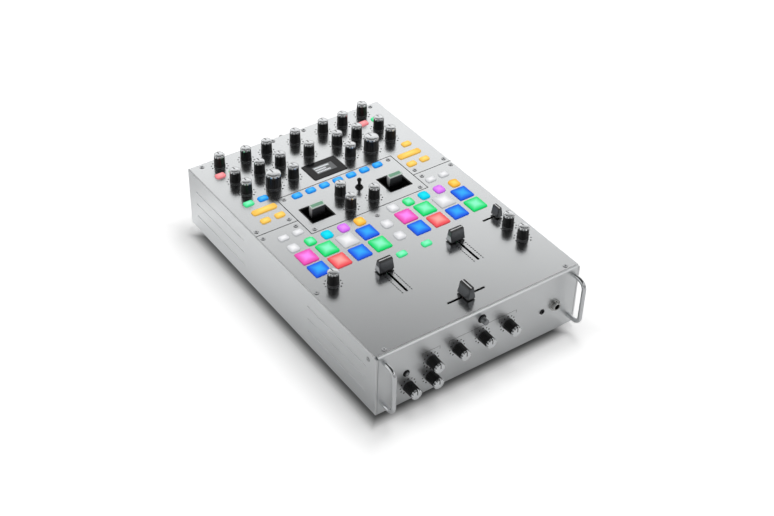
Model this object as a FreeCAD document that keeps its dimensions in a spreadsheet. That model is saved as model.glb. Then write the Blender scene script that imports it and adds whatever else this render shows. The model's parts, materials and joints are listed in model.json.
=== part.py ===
"""Two-channel scratch mixer: folded tray, three top plates, knobs, faders, pads and paddles.

Frame: +X to the right, +Y to the back, +Z up, origin on the floor under the middle of the
whole object. Places on the top are given from the front face (y) and from the middle (x).
"""
import FreeCAD, Part
import Sketcher
import math
import os
import re

Vector = FreeCAD.Vector
Rotation = FreeCAD.Rotation

# Driving dimensions in millimetres: name, value, meaning
SIZES = [
    ("body_width", 260, "outside width over the side walls"),
    ("body_depth", 375, "front face to rear wall"),
    ("body_height", 77, "underside of the tray to the top surface"),
    ("foot_height", 5, "rubber feet under the tray"),
    ("foot_radius", 9, "foot at its widest"),
    ("foot_inset_side", 22, "foot centre to the side face"),
    ("foot_inset_end", 28, "foot centre to the front and rear faces"),
    ("foot_bevel", 1.4, "bevel round the underside of a foot"),
    ("foot_recess_radius", 3.6, "screw recess in a foot"),
    ("foot_recess_depth", 2.2, "depth of that recess"),
    ("sheet", 2, "folded sheet of the side walls, rear wall and flanges"),
    ("floor_sheet", 1.6, "floor of the tray"),
    ("plate", 2, "top plates"),
    ("plate_bevel", 0.9, "bright bevel along the outer edges of the top plates"),
    ("front_panel", 3, "front panel"),
    ("front_bevel", 1.4, "bright bevel along the top of the front panel"),
    ("seam", 0.5, "open seam between two plates"),
    ("overcut", 1, "how far a cutter stands out of what it cuts"),
    ("edge_break", 0.5, "bevel round the rims of sockets, buttons and feet"),
    ("flange_width", 13, "inward flange along the top of each side wall"),
    ("corner_tab_width", 20, "flange at the front and rear corners"),
    ("corner_tab_length", 12, "length of a corner tab"),
    ("rear_flange_depth", 11, "flange along the top of the rear wall"),
    ("rear_flange_width", 160, "length of that flange"),
    ("bend_radius", 1.5, "outer radius of the tray's long bends"),
    ("split_y", 226, "seam between the rear plate and the performance plate"),
    ("effects_width", 154, "effects plate, side to side"),
    ("effects_front", 198, "front edge of the effects plate"),
    ("effects_back", 271, "rear edge of the effects plate"),
    ("strap_half_depth", 12.8, "half the depth of the strap under the side seam"),
    ("strap_shift", 1, "middle of that strap behind the seam"),
    ("ledge_inset", 1, "ends of the ledge inside the ends of the effects plate"),
    ("strap_inner", 67.2, "inner edge of the ledge under the effects plate"),
    ("strap_ledge", 80.5, "outer edge of that ledge"),
    ("groove_width", 1.5, "pressed groove in a side wall"),
    ("groove_depth", 0.7, "depth of that groove"),
    ("groove_length", 106, "length of that groove"),
    ("groove_front", 71, "middle of the front grooves"),
    ("groove_back", 306, "middle of the back grooves"),
    ("groove_low", 20.6, "lowest groove above the tray's underside"),
    ("groove_pitch", 17, "from one groove to the next"),
    ("board", 1.6, "circuit board"),
    ("board_drop", 14, "top surface down to the control board"),
    ("board_width", 222, "control board, side to side"),
    ("board_front_gap", 2.4, "control board behind the front board"),
    ("board_back", 369, "rear edge of the control board"),
    ("post_radius", 3, "round spacer between a board and what carries it"),
    ("main_board_width", 190, "main board on the tray's floor"),
    ("main_board_front", 60, "its front edge"),
    ("main_board_back", 330, "its rear edge"),
    ("main_post_height", 6, "spacers under the main board"),
    ("main_post_inset", 8, "those spacers from the main board's edges"),
    ("post_rear_y", 340.1, "rear spacers of the control board"),
    ("post_side_y", 311, "side spacers"),
    ("post_middle_y", 120, "spacers behind the faders"),
    ("post_front_y", 44.6, "front spacers"),
    ("post_centre_y", 59.6, "spacer between the channel faders"),
    ("shaft_radius", 3, "knob shaft"),
    ("shaft_clearance", 0.1, "shaft in its bush"),
    ("fit_gap", 0.05, "pressed or bonded pieces of one assembly"),
    ("bush_wall", 1, "wall of a potentiometer's threaded bush"),
    ("bush_sink", 0.3, "top of a bush below the surface"),
    ("bush_clearance", 0.3, "bush in a plate's hole"),
    ("pot_width", 10, "potentiometer body, side to side"),
    ("pot_depth", 11, "potentiometer body, front to back"),
    ("pot_height", 7.6, "potentiometer body on its board"),
    ("knob_gap", 0.6, "knob above the surface"),
    ("knob_radius", 6.4, "small knob"),
    ("knob_skirt_radius", 6.6, "flared foot of a small knob"),
    ("knob_skirt_height", 0.8, "height of that foot"),
    ("knob_flare", 0.3, "height of the slope from the foot to the grip"),
    ("knob_smooth", 0.9, "plain band between the foot and the flutes"),
    ("knob_roof", 2, "solid top of a grip above its shaft"),
    ("knob_taper", 0.3, "how much a knob narrows towards its top"),
    ("knob_grip_top", 13.8, "top of the black grip of a small knob"),
    ("knob_top", 16.4, "top of the metal cap of a small knob"),
    ("big_radius", 8.8, "large knob"),
    ("big_skirt_radius", 9, "flared foot of a large knob"),
    ("big_grip_top", 15.4, "top of the grip of a large knob"),
    ("big_top", 18, "top of the cap of a large knob"),
    ("cap_inset", 0.15, "metal cap inside the rim of its grip"),
    ("cap_bevel", 1, "bevel round a knob's metal cap"),
    ("flute_count", 24, "grip flutes round a knob"),
    ("flute_depth", 0.4, "depth of a flute"),
    ("flute_half_width", 0.42, "half the width of a flute at the rim"),
    ("pointer_width", 1.2, "pointer groove across a cap"),
    ("pointer_depth", 0.5, "depth of the pointer groove"),
    ("source_column", 97.4, "outer knob column"),
    ("trim_column", 66, "middle knob column"),
    ("eq_column", 38.5, "inner knob column"),
    ("row_source", 360, "rearmost outer knobs"),
    ("row_high", 354.8, "rear knob row"),
    ("row_mid", 324.6, "second knob row"),
    ("row_low", 296.5, "third knob row, inner column"),
    ("row_filter", 294.3, "large knobs"),
    ("row_tone", 300, "third knob row, outer column"),
    ("beat_x", 12.7, "endless knob and browse lever from the middle"),
    ("beat_y", 240.2, "endless knob and browse lever"),
    ("depth_x", 15.5, "effect depth knobs from the middle"),
    ("depth_y", 215.1, "effect depth knobs"),
    ("mic_x", 102.8, "microphone knob, to the left"),
    ("mic_y", 117, "microphone knob"),
    ("cue_x", 108.3, "headphone knobs, to the right"),
    ("cue_mix_y", 94.4, "headphone mix knob"),
    ("phones_y", 69.2, "headphone level knob"),
    ("front_pitch", 32.7, "between the front knobs"),
    ("front_last_x", 35.2, "rightmost front knob"),
    ("front_first_x", 90.4, "leftmost front knob, to the left"),
    ("front_high_z", 41.9, "upper front row above the tray's underside"),
    ("front_low_z", 20.5, "lower front row"),
    ("front_board_bottom", 10, "front board above the tray's underside"),
    ("front_board_top", 74, "its top edge"),
    ("front_board_left", 104, "its left end from the middle"),
    ("front_board_right", 60, "its right end"),
    ("key_clearance", 0.4, "key in its plate opening"),
    ("key_flange", 0.8, "flange round a key under the plate"),
    ("key_flange_height", 1.2, "thickness of that flange"),
    ("key_travel", 1.4, "how far a key presses down"),
    ("key_edge", 0.6, "rounded top edge of a key"),
    ("stem_radius", 2.4, "plunger under a key"),
    ("key_rise", 1.5, "top of a key above the plate"),
    ("pad_width", 19, "performance pad"),
    ("pad_depth", 19.6, "performance pad"),
    ("pad_corner", 1.2, "corner radius of a pad"),
    ("pad_pitch", 25.6, "between pads"),
    ("pad_row_back", 168, "rear pad row"),
    ("pad_row_front", 144, "front pad row"),
    ("mode_width", 11.4, "mode key"),
    ("mode_depth", 12.2, "mode key"),
    ("mode_corner", 3.4, "corner radius of a mode key"),
    ("mode_first", 21.9, "innermost mode key"),
    ("mode_pitch", 21.1, "between mode keys"),
    ("mode_row", 188, "mode key row"),
    ("small_width", 11.4, "small key"),
    ("small_depth", 7.6, "small key"),
    ("small_corner", 2.2, "corner radius of a small key"),
    ("bar_width", 30, "long key"),
    ("bar_depth", 8, "long key"),
    ("bar_corner", 2.6, "corner radius of a long key"),
    ("key_inner", 88.3, "inner key column"),
    ("key_outer", 106.3, "outer key column"),
    ("row_rear_keys", 343, "rear key row"),
    ("row_side_keys", 280.6, "key row beside the screen"),
    ("row_bar", 262.3, "long keys"),
    ("bar_x", 97.4, "long keys from the middle"),
    ("row_loop", 244.8, "keys in front of the long keys"),
    ("row_shift", 208, "white keys behind the pads"),
    ("effect_key_pitch", 18, "between effect keys"),
    ("effect_key_y", 264.5, "effect keys"),
    ("cue_key_x", 16.2, "cue keys from the middle"),
    ("cue_key_y", 117.7, "cue keys"),
    ("screen_width", 44, "display window"),
    ("screen_depth", 30, "display window"),
    ("screen_corner", 1.6, "corner radius of the window"),
    ("screen_y", 292, "middle of the display"),
    ("screen_rise", 0.5, "window above the plate"),
    ("screen_rim", 1.4, "flange of the display module"),
    ("slot_width", 2.8, "fader slot"),
    ("slot_length", 48, "fader slot"),
    ("fader_x", 46.2, "channel faders from the middle"),
    ("fader_y", 89.5, "middle of the channel fader slots"),
    ("fader_rest", 17, "channel faders at rest, behind the middle of their slots"),
    ("cross_y", 27.6, "crossfader"),
    ("blade_thickness", 1.2, "fader blade across its slot"),
    ("blade_width", 3, "fader blade along its slot"),
    ("blade_drop", 10, "blade below the surface"),
    ("track_width", 9, "fader track"),
    ("track_end", 7, "fader track past each end of its slot"),
    ("track_groove", 2.8, "groove of a fader track"),
    ("track_floor", 1.6, "floor under that groove"),
    ("cap_gap", 1.6, "fader cap above the surface"),
    ("cap_foot_width", 18.6, "fader cap at its foot, across the slot"),
    ("cap_foot_depth", 10, "fader cap at its foot, along the slot"),
    ("cap_waist_width", 18.2, "fader cap half way up"),
    ("cap_waist_depth", 7.4, "fader cap half way up"),
    ("cap_waist_z", 7.4, "height of that section"),
    ("cap_top_width", 16.4, "fader cap at its top"),
    ("cap_top_depth", 6.2, "fader cap at its top"),
    ("cap_top", 14.4, "top of a fader cap above the surface"),
    ("cap_corner", 0.9, "corner radius of a fader cap"),
    ("line_width", 1, "raised line along the top of a fader cap"),
    ("line_rise", 0.35, "height of that line"),
    ("line_inset", 0.8, "ends of that line from the ends of the cap"),
    ("mini_x", 101.6, "middle of the small fader's slot"),
    ("mini_y", 115.2, "small fader"),
    ("mini_slot", 23, "slot of the small fader"),
    ("mini_rest", 7.6, "small fader at rest, right of the middle of its slot"),
    ("mini_foot_width", 11.6, "small cap across its slot"),
    ("mini_foot_depth", 7.6, "small cap along its slot"),
    ("mini_top_width", 10.6, "small cap at its top"),
    ("mini_top_depth", 4.6, "small cap at its top"),
    ("mini_top", 12.4, "top of the small cap above the surface"),
    ("well_x", 51.6, "paddle wells from the middle"),
    ("well_y", 227.2, "paddle wells"),
    ("well_width", 30.4, "opening of a paddle well"),
    ("well_depth", 29.6, "opening of a paddle well"),
    ("well_wall", 1.5, "wall of a paddle well"),
    ("well_fit", 0.2, "well in its opening"),
    ("well_sink", 0.3, "rim of the well below the surface"),
    ("pivot_drop", 8.5, "paddle pivot below the surface"),
    ("pin_radius", 1.5, "paddle pin"),
    ("hub_radius", 2.7, "paddle hub"),
    ("paddle_width", 17, "paddle blade"),
    ("paddle_foot", 2.2, "half the thickness of the blade at its hub"),
    ("paddle_head", 2.9, "half the thickness of the blade at its head"),
    ("paddle_rise", 10, "top of the black blade above the surface"),
    ("lens_height", 1.2, "lit strip on a paddle"),
    ("lens_slope", 1.2, "fall of the lit strip to the front"),
    ("lens_lean", 0.4, "rear face of the lit strip leans forward"),
    ("lever_ball", 2.5, "ball of the browse lever"),
    ("lever_neck", 1.6, "neck of the browse lever"),
    ("lever_head", 2.6, "head of the browse lever"),
    ("lever_shoulder", 1.8, "neck where it meets the head"),
    ("lever_top", 12.6, "top of the browse lever above the surface"),
    ("collar_radius", 3.6, "collar round the browse lever"),
    ("collar_height", 2, "collar above the surface"),
    ("collar_wall", 1.2, "thickness of the collar's ring"),
    ("lever_clearance", 0.3, "ball in its collar"),
    ("handle_inset", 9, "handles from the side face"),
    ("handle_low", 12.5, "lower leg above the tray's underside"),
    ("handle_high", 68.5, "upper leg above the tray's underside"),
    ("handle_reach", 18.5, "handle bar in front of the panel"),
    ("handle_radius", 2.5, "handle bar"),
    ("handle_bend", 9, "bend of the handle bar"),
    ("button_z", 65.7, "upper front button above the tray's underside"),
    ("button_radius", 3.3, "upper front button"),
    ("button_reach", 8, "upper front button in front of the panel"),
    ("switch_x", 93, "small front button, to the left"),
    ("switch_z", 39, "small front button above the tray's underside"),
    ("switch_radius", 2.2, "small front button"),
    ("switch_reach", 2.6, "small front button in front of the panel"),
    ("button_travel", 1.5, "how far the front buttons press in"),
    ("button_gap", 0.3, "front button in its guide"),
    ("button_foot", 3, "front button behind the panel"),
    ("button_spare", 0.4, "room left behind a pressed front button"),
    ("guide_wall", 1.4, "wall of a front button's guide"),
    ("guide_lip", 0.4, "guide in front of the panel"),
    ("guide_flange", 1, "guide wider behind the panel"),
    ("guide_floor", 1.2, "closed back of a guide"),
    ("screw_head", 2.6, "screw head radius"),
    ("screw_rise", 0.8, "screw head height"),
    ("screw_rim", 0.35, "upright rim of a screw head"),
    ("screw_crown", 1.8, "flat top of a screw head"),
    ("screw_radius", 1.3, "screw shank"),
    ("screw_length", 3.8, "screw shank under its head"),
    ("screw_clearance", 0.2, "shank in its hole"),
    ("screw_socket", 1.25, "hexagon socket, corner radius"),
    ("screw_socket_depth", 0.7, "hexagon socket"),
    ("corner_screw_inset", 14.4, "corner screws from the side face"),
    ("corner_screw_inset_back", 6.5, "rear corner screws from the rear face"),
    ("corner_screw_front", 7.6, "front corner screws"),
    ("rear_screw_x", 21, "rear screws from the middle"),
    ("rear_screw_inset", 5.4, "rear screws from the rear face"),
    ("seam_screw_inset", 5.1, "outer seam screws from the side face"),
    ("seam_screw_inner", 84, "inner seam screws from the middle"),
    ("seam_screw_offset", 6.9, "seam screws from the seam"),
    ("effects_screw_x", 70.1, "effects plate screws from the middle"),
    ("effects_screw_inset", 5.2, "effects plate screws from its edge"),
    ("middle_screw_y", 186.5, "screw between the decks"),
    ("side_screw_y", 113.9, "side screws of the performance plate"),
    ("wall_screw_y", 14, "screws in the side walls"),
    ("wall_screw_z", 66.4, "those screws above the tray's underside"),
    ("jack_x", 99, "large headphone socket"),
    ("jack_z", 37, "large headphone socket above the tray's underside"),
    ("jack_bore", 3.2, "bore for a 6.35 mm plug"),
    ("jack_reach", 5.2, "large socket in front of its panel"),
    ("jack_radius", 4.9, "threaded bush of a large socket"),
    ("jack_nut", 6.6, "nut of a large socket"),
    ("jack_nut_height", 2, "nut of a large socket"),
    ("jack_body", 7, "body of a large socket"),
    ("jack_depth", 26, "body behind the panel's face"),
    ("jack_set_back", 1, "body of a large socket behind its panel"),
    ("mini_jack_x", 82.6, "small headphone socket"),
    ("mini_jack_z", 34.6, "small headphone socket above the tray's underside"),
    ("mini_jack_bore", 1.8, "bore for a 3.5 mm plug"),
    ("mini_jack_radius", 3, "small socket"),
    ("mini_jack_reach", 0.8, "small socket in front of its panel"),
    ("mini_jack_shoulder", 1.4, "body of the small socket wider than its mouth"),
    ("mini_jack_depth", 14, "small socket behind the panel's face"),
    ("socket_clearance", 0.2, "socket body in its panel hole"),
    ("phono_first_x", 30, "leftmost phono socket"),
    ("phono_pitch", 18, "between phono sockets"),
    ("rear_low_z", 30, "lower socket row above the tray's underside"),
    ("rear_row_gap", 2.4, "upper socket row under the control board"),
    ("rear_mid_z", 41, "large sockets above the tray's underside"),
    ("phono_radius", 4.15, "barrel of a phono socket"),
    ("phono_flange", 6.4, "flange of a phono socket"),
    ("phono_flange_height", 1.2, "flange of a phono socket"),
    ("phono_reach", 9.5, "phono socket behind the rear wall"),
    ("phono_hole", 1.65, "pin hole of a phono socket"),
    ("phono_hole_depth", 8, "pin hole of a phono socket"),
    ("phono_body", 5, "phono socket inside the wall"),
    ("phono_depth", 9, "phono socket inside the wall"),
    ("booth_x", 53, "booth sockets"),
    ("main_first_x", 80, "inner main output"),
    ("main_pitch", 29, "between the main outputs"),
    ("main_flange", 26, "square flange of a main output"),
    ("main_flange_height", 1.6, "flange of a main output"),
    ("main_corner", 3, "corner radius of that flange"),
    ("main_body", 11.4, "barrel of a main output"),
    ("main_bore", 9, "well of a main output"),
    ("main_well_depth", 15, "well of a main output"),
    ("main_depth", 22, "barrel inside the rear face"),
    ("main_pin", 1.2, "contact pin"),
    ("main_pin_circle", 4.4, "contact pins from the middle"),
    ("main_pin_length", 8, "contact pin"),
    ("usb_x", 47, "data sockets"),
    ("usb_width", 12, "data socket shell"),
    ("usb_height", 11, "data socket shell"),
    ("usb_open_width", 8.6, "data socket opening"),
    ("usb_open_height", 7.8, "data socket opening"),
    ("usb_corner", 0.8, "corner radius of the data socket"),
    ("usb_reach", 0.8, "data socket behind the rear wall"),
    ("usb_depth", 16, "data socket inside the rear face"),
    ("usb_open_depth", 13, "depth of the opening"),
    ("usb_tongue_width", 5.6, "contact tongue"),
    ("usb_tongue_height", 3.2, "contact tongue"),
    ("usb_tongue_length", 7.4, "contact tongue"),
    ("inlet_x", 103, "mains inlet"),
    ("inlet_width", 33, "flange of the mains inlet"),
    ("inlet_height", 27, "flange of the mains inlet"),
    ("inlet_flange", 1.6, "flange of the mains inlet"),
    ("inlet_corner", 4, "corner radius of the inlet"),
    ("inlet_open_width", 24.6, "mouth of the mains inlet"),
    ("inlet_open_height", 17, "mouth of the mains inlet"),
    ("inlet_wall", 2, "wall round the mouth"),
    ("inlet_depth", 20, "inlet inside the rear face"),
    ("inlet_open_depth", 17, "depth of the mouth"),
    ("blade_pitch", 7, "between the inlet's contact blades"),
    ("contact_thickness", 2, "contact blade"),
    ("contact_height", 4, "contact blade"),
    ("contact_length", 11, "contact blade"),
    ("earth_rise", 3.6, "middle blade above the outer ones"),
    ("rocker_x", 73, "power switch"),
    ("rocker_width", 11, "rocker"),
    ("rocker_height", 17, "rocker"),
    ("rocker_gap", 0.5, "rocker in its frame"),
    ("rocker_rim", 2.6, "rim of the rocker's frame"),
    ("rocker_flange", 1.2, "rim of the rocker's frame"),
    ("rocker_depth", 14, "frame inside the rear face"),
    ("rocker_floor", 1.5, "floor of the rocker's frame"),
    ("rocker_corner", 2, "corner radius of the frame"),
    ("rocker_pivot", 4, "rocker pin inside the rear face"),
    ("rocker_pin", 1.2, "rocker pin"),
    ("rocker_reach", 1.4, "middle of the rocker behind the rear face"),
    ("rocker_lift", 1.9, "ends of the rocker behind its middle"),
    ("rocker_foot", 3.2, "rocker below its pin"),
    ("rocker_foot_half", 5.95, "half the height of the rocker below its pin"),
    ("rocker_end_gap", 0.6, "ends of the rocker inside its frame"),
    ("rocker_tilt", 10, "rocker switched off, degrees"),
    ("post_x", 3, "earth terminal, to the left"),
    ("post_z", 68.5, "earth terminal above the tray's underside"),
    ("terminal_radius", 3.6, "earth terminal thumbscrew"),
    ("terminal_reach", 8, "earth terminal behind the rear wall"),
    ("terminal_plate", 1, "washer of the earth terminal"),
    ("terminal_gap", 1.6, "clamping gap of the thumbscrew"),
    ("terminal_tail", 2, "stud inside the rear wall"),
    ("terminal_stud", 1.8, "stud of the earth terminal"),
]

# Sizes that follow from the ones above
DERIVED = [
    ("top_z", "foot_height + body_height"),
    ("front_y", "(handle_reach + handle_radius - body_depth - phono_reach) / 2"),
    ("rear_y", "front_y + body_depth"),
    ("wall_x", "body_width / 2 - sheet"),
    ("shelf_z", "top_z - plate"),
    ("effects_x", "effects_width / 2"),
    ("flange_x", "wall_x - flange_width"),
    ("corner_screw_x", "body_width / 2 - corner_screw_inset"),
    ("seam_screw_x", "body_width / 2 - seam_screw_inset"),
    ("handle_x", "body_width / 2 - handle_inset"),
    ("bush_radius", "shaft_radius + bush_wall"),
    ("screw_socket_flat", "screw_socket * sin(60 deg)"),
    ("board_front", "board_drop + board + board_front_gap"),
    ("rear_high_z", "body_height - board_drop - board - jack_body - rear_row_gap"),
]

NAME = re.compile(r"[A-Za-z_]{3,}[A-Za-z_]*")
UP = Rotation()
TO_FRONT = Rotation(Vector(1, 0, 0), 90)
TO_REAR = Rotation(Vector(1, 0, 0), -90)
ACROSS = Rotation(Vector(0, 0, 1), 90)
TO_RIGHT = Rotation(Vector(0, 1, 0), 90)
TO_LEFT = Rotation(Vector(0, 1, 0), -90)
SIDES = (("left", "-"), ("right", ""))
QUARTER = math.pi / 2
NEAR = 1e-4

doc = FreeCAD.newDocument("ScratchMixer")
sheet = doc.addObject("Spreadsheet::Sheet", "Sizes")
parts = {}


def fill_sheet():
    """Write the driving sizes and what follows from them, each cell with its alias."""
    for row, (name, size, meaning) in enumerate(SIZES, start=1):
        sheet.set(f"A{row}", name)
        sheet.set(f"B{row}", str(size))
        sheet.set(f"C{row}", meaning)
        sheet.setAlias(f"B{row}", name)
    for row, (name, formula) in enumerate(DERIVED, start=len(SIZES) + 2):
        sheet.set(f"A{row}", name)
        sheet.set(f"B{row}", "=" + formula)
        sheet.setAlias(f"B{row}", name)
    doc.recompute()


def expr(text):
    """Turn a formula in the sheet's names into an expression for another object."""
    return NAME.sub(lambda match: "Sizes." + match.group(0), str(text))


def value(text):
    return float(sheet.evalExpression(expr(text)))


def bind(obj, prop, text):
    obj.setExpression(prop, expr(text))


def place(obj, spot, turn=UP):
    obj.Placement = FreeCAD.Placement(Vector(), turn)
    for axis, text in zip("xyz", spot):
        bind(obj, "Placement.Base." + axis, text)
    return obj


def top(x, y):
    """A place on the top surface, y counted from the front face."""
    return (x, f"front_y + {y}", "top_z")


def on_front(x, z):
    return (x, "front_y", f"foot_height + {z}")


def on_rear(x, z):
    return (x, "rear_y", f"foot_height + {z}")


def box(name, size, corner):
    block = doc.addObject("Part::Box", name)
    for prop, text in zip(("Length", "Width", "Height"), size):
        bind(block, prop, text)
    return place(block, corner)


def cylinder(name, radius, height, base, turn=UP):
    rod = doc.addObject("Part::Cylinder", name)
    bind(rod, "Radius", radius)
    bind(rod, "Height", height)
    return place(rod, base, turn)


def copy(master, name, spot, turn=UP):
    link = doc.addObject("App::Link", name)
    link.LinkedObject = master
    link.LinkTransform = True
    return place(link, spot, turn)


def group(name, members):
    several = doc.addObject("Part::Compound", name)
    several.Links = members
    return several


def cut(name, base, tool):
    result = doc.addObject("Part::Cut", name)
    result.Base = base
    result.Tool = tool
    return result


def fuse(name, members):
    result = doc.addObject("Part::MultiFuse", name)
    result.Shapes = members
    result.Refine = True
    return result


def keep(node, obj):
    """Name a finished sub-part: its label is its node."""
    obj.Label = node
    parts[node] = obj


def origin_plane(body, role):
    return next(item for item in body.Origin.OriginFeatures if item.Role == role)


def new_sketch(body, name, role="XY_Plane", lift="0"):
    sketch = body.newObject("Sketcher::SketchObject", name)
    sketch.AttachmentSupport = (origin_plane(body, role), [""])
    sketch.MapMode = "FlatFace"
    bind(sketch, "AttachmentOffset.Base.z", lift)
    return sketch


def fix(sketch, kind, *where, text, name):
    """Add one driving dimension to a sketch and bind it to the sheet."""
    index = sketch.addConstraint(Sketcher.Constraint(kind, *where, value(text)))
    sketch.renameConstraint(index, name)
    bind(sketch, "Constraints." + name, text)


def polygon(sketch, corners):
    """Closed outline through corners, each a pair of formulas, every corner bound."""
    spots = [Vector(value(x), value(y), 0) for x, y in corners]
    count = len(spots)
    for index, spot in enumerate(spots):
        sketch.addGeometry(Part.LineSegment(spot, spots[(index + 1) % count]))
    for index in range(count):
        following = (index + 1) % count
        sketch.addConstraint(Sketcher.Constraint("Coincident", index, 2, following, 1))
    for index, (x, y) in enumerate(corners):
        for kind, axis, text in (("DistanceX", -2, x), ("DistanceY", -1, y)):
            if text == "0":
                sketch.addConstraint(Sketcher.Constraint("PointOnObject", index, 1, axis))
            else:
                fix(sketch, kind, index, 1, text=text, name=f"{kind}_{index}")


def rounded_rectangle(sketch, width, depth, radius):
    """Rectangle about the origin with rounded corners: lines 0 to 3, arcs 4 to 7."""
    half_x = value(width) / 2
    half_y = value(depth) / 2
    r = value(radius)
    inner_x = half_x - r
    inner_y = half_y - r
    lines = [
        ((-inner_x, half_y), (inner_x, half_y)),
        ((half_x, inner_y), (half_x, -inner_y)),
        ((inner_x, -half_y), (-inner_x, -half_y)),
        ((-half_x, -inner_y), (-half_x, inner_y)),
    ]
    for start, end in lines:
        sketch.addGeometry(Part.LineSegment(Vector(*start, 0), Vector(*end, 0)))
    centres = [(inner_x, inner_y), (inner_x, -inner_y), (-inner_x, -inner_y), (-inner_x, inner_y)]
    for index, centre in enumerate(centres):
        circle = Part.Circle(Vector(*centre, 0), Vector(0, 0, 1), r)
        start = -QUARTER * index
        sketch.addGeometry(Part.ArcOfCircle(circle, start, start + QUARTER))
    for index in range(4):
        arc = 4 + index
        sketch.addConstraint(Sketcher.Constraint("Tangent", index, 2, arc, 2))
        sketch.addConstraint(Sketcher.Constraint("Tangent", arc, 1, (index + 1) % 4, 1))
        kind = "Horizontal" if index % 2 == 0 else "Vertical"
        sketch.addConstraint(Sketcher.Constraint(kind, index))
        if index:
            sketch.addConstraint(Sketcher.Constraint("Equal", 4, arc))
    sketch.addConstraint(Sketcher.Constraint("Symmetric", 4, 3, 6, 3, -1, 1))
    fix(sketch, "Radius", 4, text=radius, name="corner")
    fix(sketch, "DistanceX", 3, 1, 1, 1, text=width, name="width")
    fix(sketch, "DistanceY", 2, 1, 0, 1, text=depth, name="depth")


def slot_outline(sketch, length, width):
    """Slot about the origin along X with half-round ends."""
    r = value(width) / 2
    reach = value(length) / 2 - r
    right = Part.Circle(Vector(reach, 0, 0), Vector(0, 0, 1), r)
    left = Part.Circle(Vector(-reach, 0, 0), Vector(0, 0, 1), r)
    sketch.addGeometry(Part.LineSegment(Vector(-reach, r, 0), Vector(reach, r, 0)))
    sketch.addGeometry(Part.ArcOfCircle(right, -QUARTER, QUARTER))
    sketch.addGeometry(Part.LineSegment(Vector(reach, -r, 0), Vector(-reach, -r, 0)))
    sketch.addGeometry(Part.ArcOfCircle(left, QUARTER, 3 * QUARTER))
    for joint in ((0, 2, 1, 2), (1, 1, 2, 1), (2, 2, 3, 2), (3, 1, 0, 1)):
        sketch.addConstraint(Sketcher.Constraint("Tangent", *joint))
    sketch.addConstraint(Sketcher.Constraint("Equal", 1, 3))
    sketch.addConstraint(Sketcher.Constraint("Symmetric", 1, 3, 3, 3, -1, 1))
    sketch.addConstraint(Sketcher.Constraint("PointOnObject", 1, 3, -1))
    fix(sketch, "Radius", 1, text=f"({width}) / 2", name="round")
    fix(sketch, "DistanceX", 3, 3, 1, 3, text=f"({length}) - ({width})", name="run")


def circle(sketch, radius, x="0", y="0"):
    centre = Vector(value(x), value(y), 0)
    index = sketch.addGeometry(Part.Circle(centre, Vector(0, 0, 1), value(radius)))
    for kind, axis, text in (("DistanceX", -2, x), ("DistanceY", -1, y)):
        if text == "0":
            sketch.addConstraint(Sketcher.Constraint("PointOnObject", index, 3, axis))
        else:
            fix(sketch, kind, index, 3, text=text, name=f"{kind}_{index}")
    fix(sketch, "Radius", index, text=radius, name=f"radius_{index}")


def pad(body, sketch, length, name):
    feature = body.newObject("PartDesign::Pad", name)
    feature.Profile = sketch
    bind(feature, "Length", length)
    doc.recompute()
    return feature


def pocket(body, sketch, length, name):
    """Cut a sketch down into the body, and make sure that it cut something."""
    before = body.Shape.Volume
    feature = body.newObject("PartDesign::Pocket", name)
    feature.Profile = sketch
    bind(feature, "Length", length)
    doc.recompute()
    if not body.Shape.Volume < before:
        raise RuntimeError(name + " cuts nothing")
    return feature


def edges_where(feature, test):
    """Names of the edges whose every vertex passes the test."""
    names = []
    for index, edge in enumerate(feature.Shape.Edges, start=1):
        if all(test(vertex.Point) for vertex in edge.Vertexes):
            names.append(f"Edge{index}")
    return names


def round_edges(body, base, test, radius, name, kind="PartDesign::Fillet", prop="Radius"):
    feature = body.newObject(kind, name)
    feature.Base = (base, edges_where(base, test))
    bind(feature, prop, radius)
    doc.recompute()
    return feature


def at_height(text):
    height = value(text)
    return lambda point: abs(point.z - height) < NEAR


def turned(name, profile):
    """Solid of revolution about Z from a closed profile of radius and height formulas."""
    body = doc.addObject("PartDesign::Body", name)
    sketch = new_sketch(body, name + "Profile", "XZ_Plane")
    polygon(sketch, profile)
    turn = body.newObject("PartDesign::Revolution", name + "Turn")
    turn.Profile = sketch
    turn.ReferenceAxis = (sketch, ["V_Axis"])
    turn.Angle = 360
    doc.recompute()
    return body


def prism(name, outline, length, lift):
    """Straight prism: outline is a function that draws on the sketch given to it."""
    body = doc.addObject("PartDesign::Body", name)
    sketch = new_sketch(body, name + "Outline", lift=lift)
    outline(sketch)
    pad(body, sketch, length, name + "Pad")
    return body


def rounded(width, depth, radius):
    return lambda sketch: rounded_rectangle(sketch, width, depth, radius)


def opening(name, outline):
    """Cutter through a top plate, whose upper face is at zero."""
    return prism(name, outline, "plate + 2 * overcut", "-plate - overcut")


def drill(name, radius, thickness):
    """Round cutter through a panel whose outer face is at zero."""
    return cylinder(name, radius, f"{thickness} + 2 * overcut", ("0", "0", f"-{thickness} - overcut"))


def profile_along_x(name, corners, width):
    """Prism along X, centred, from a side profile of y and z formulas."""
    body = doc.addObject("PartDesign::Body", name)
    sketch = new_sketch(body, name + "Side", "YZ_Plane")
    polygon(sketch, corners)
    feature = pad(body, sketch, width, name + "Pad")
    feature.Midplane = True
    doc.recompute()
    return body


# Knobs: a fluted black grip, a metal cap and a steel shaft

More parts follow.
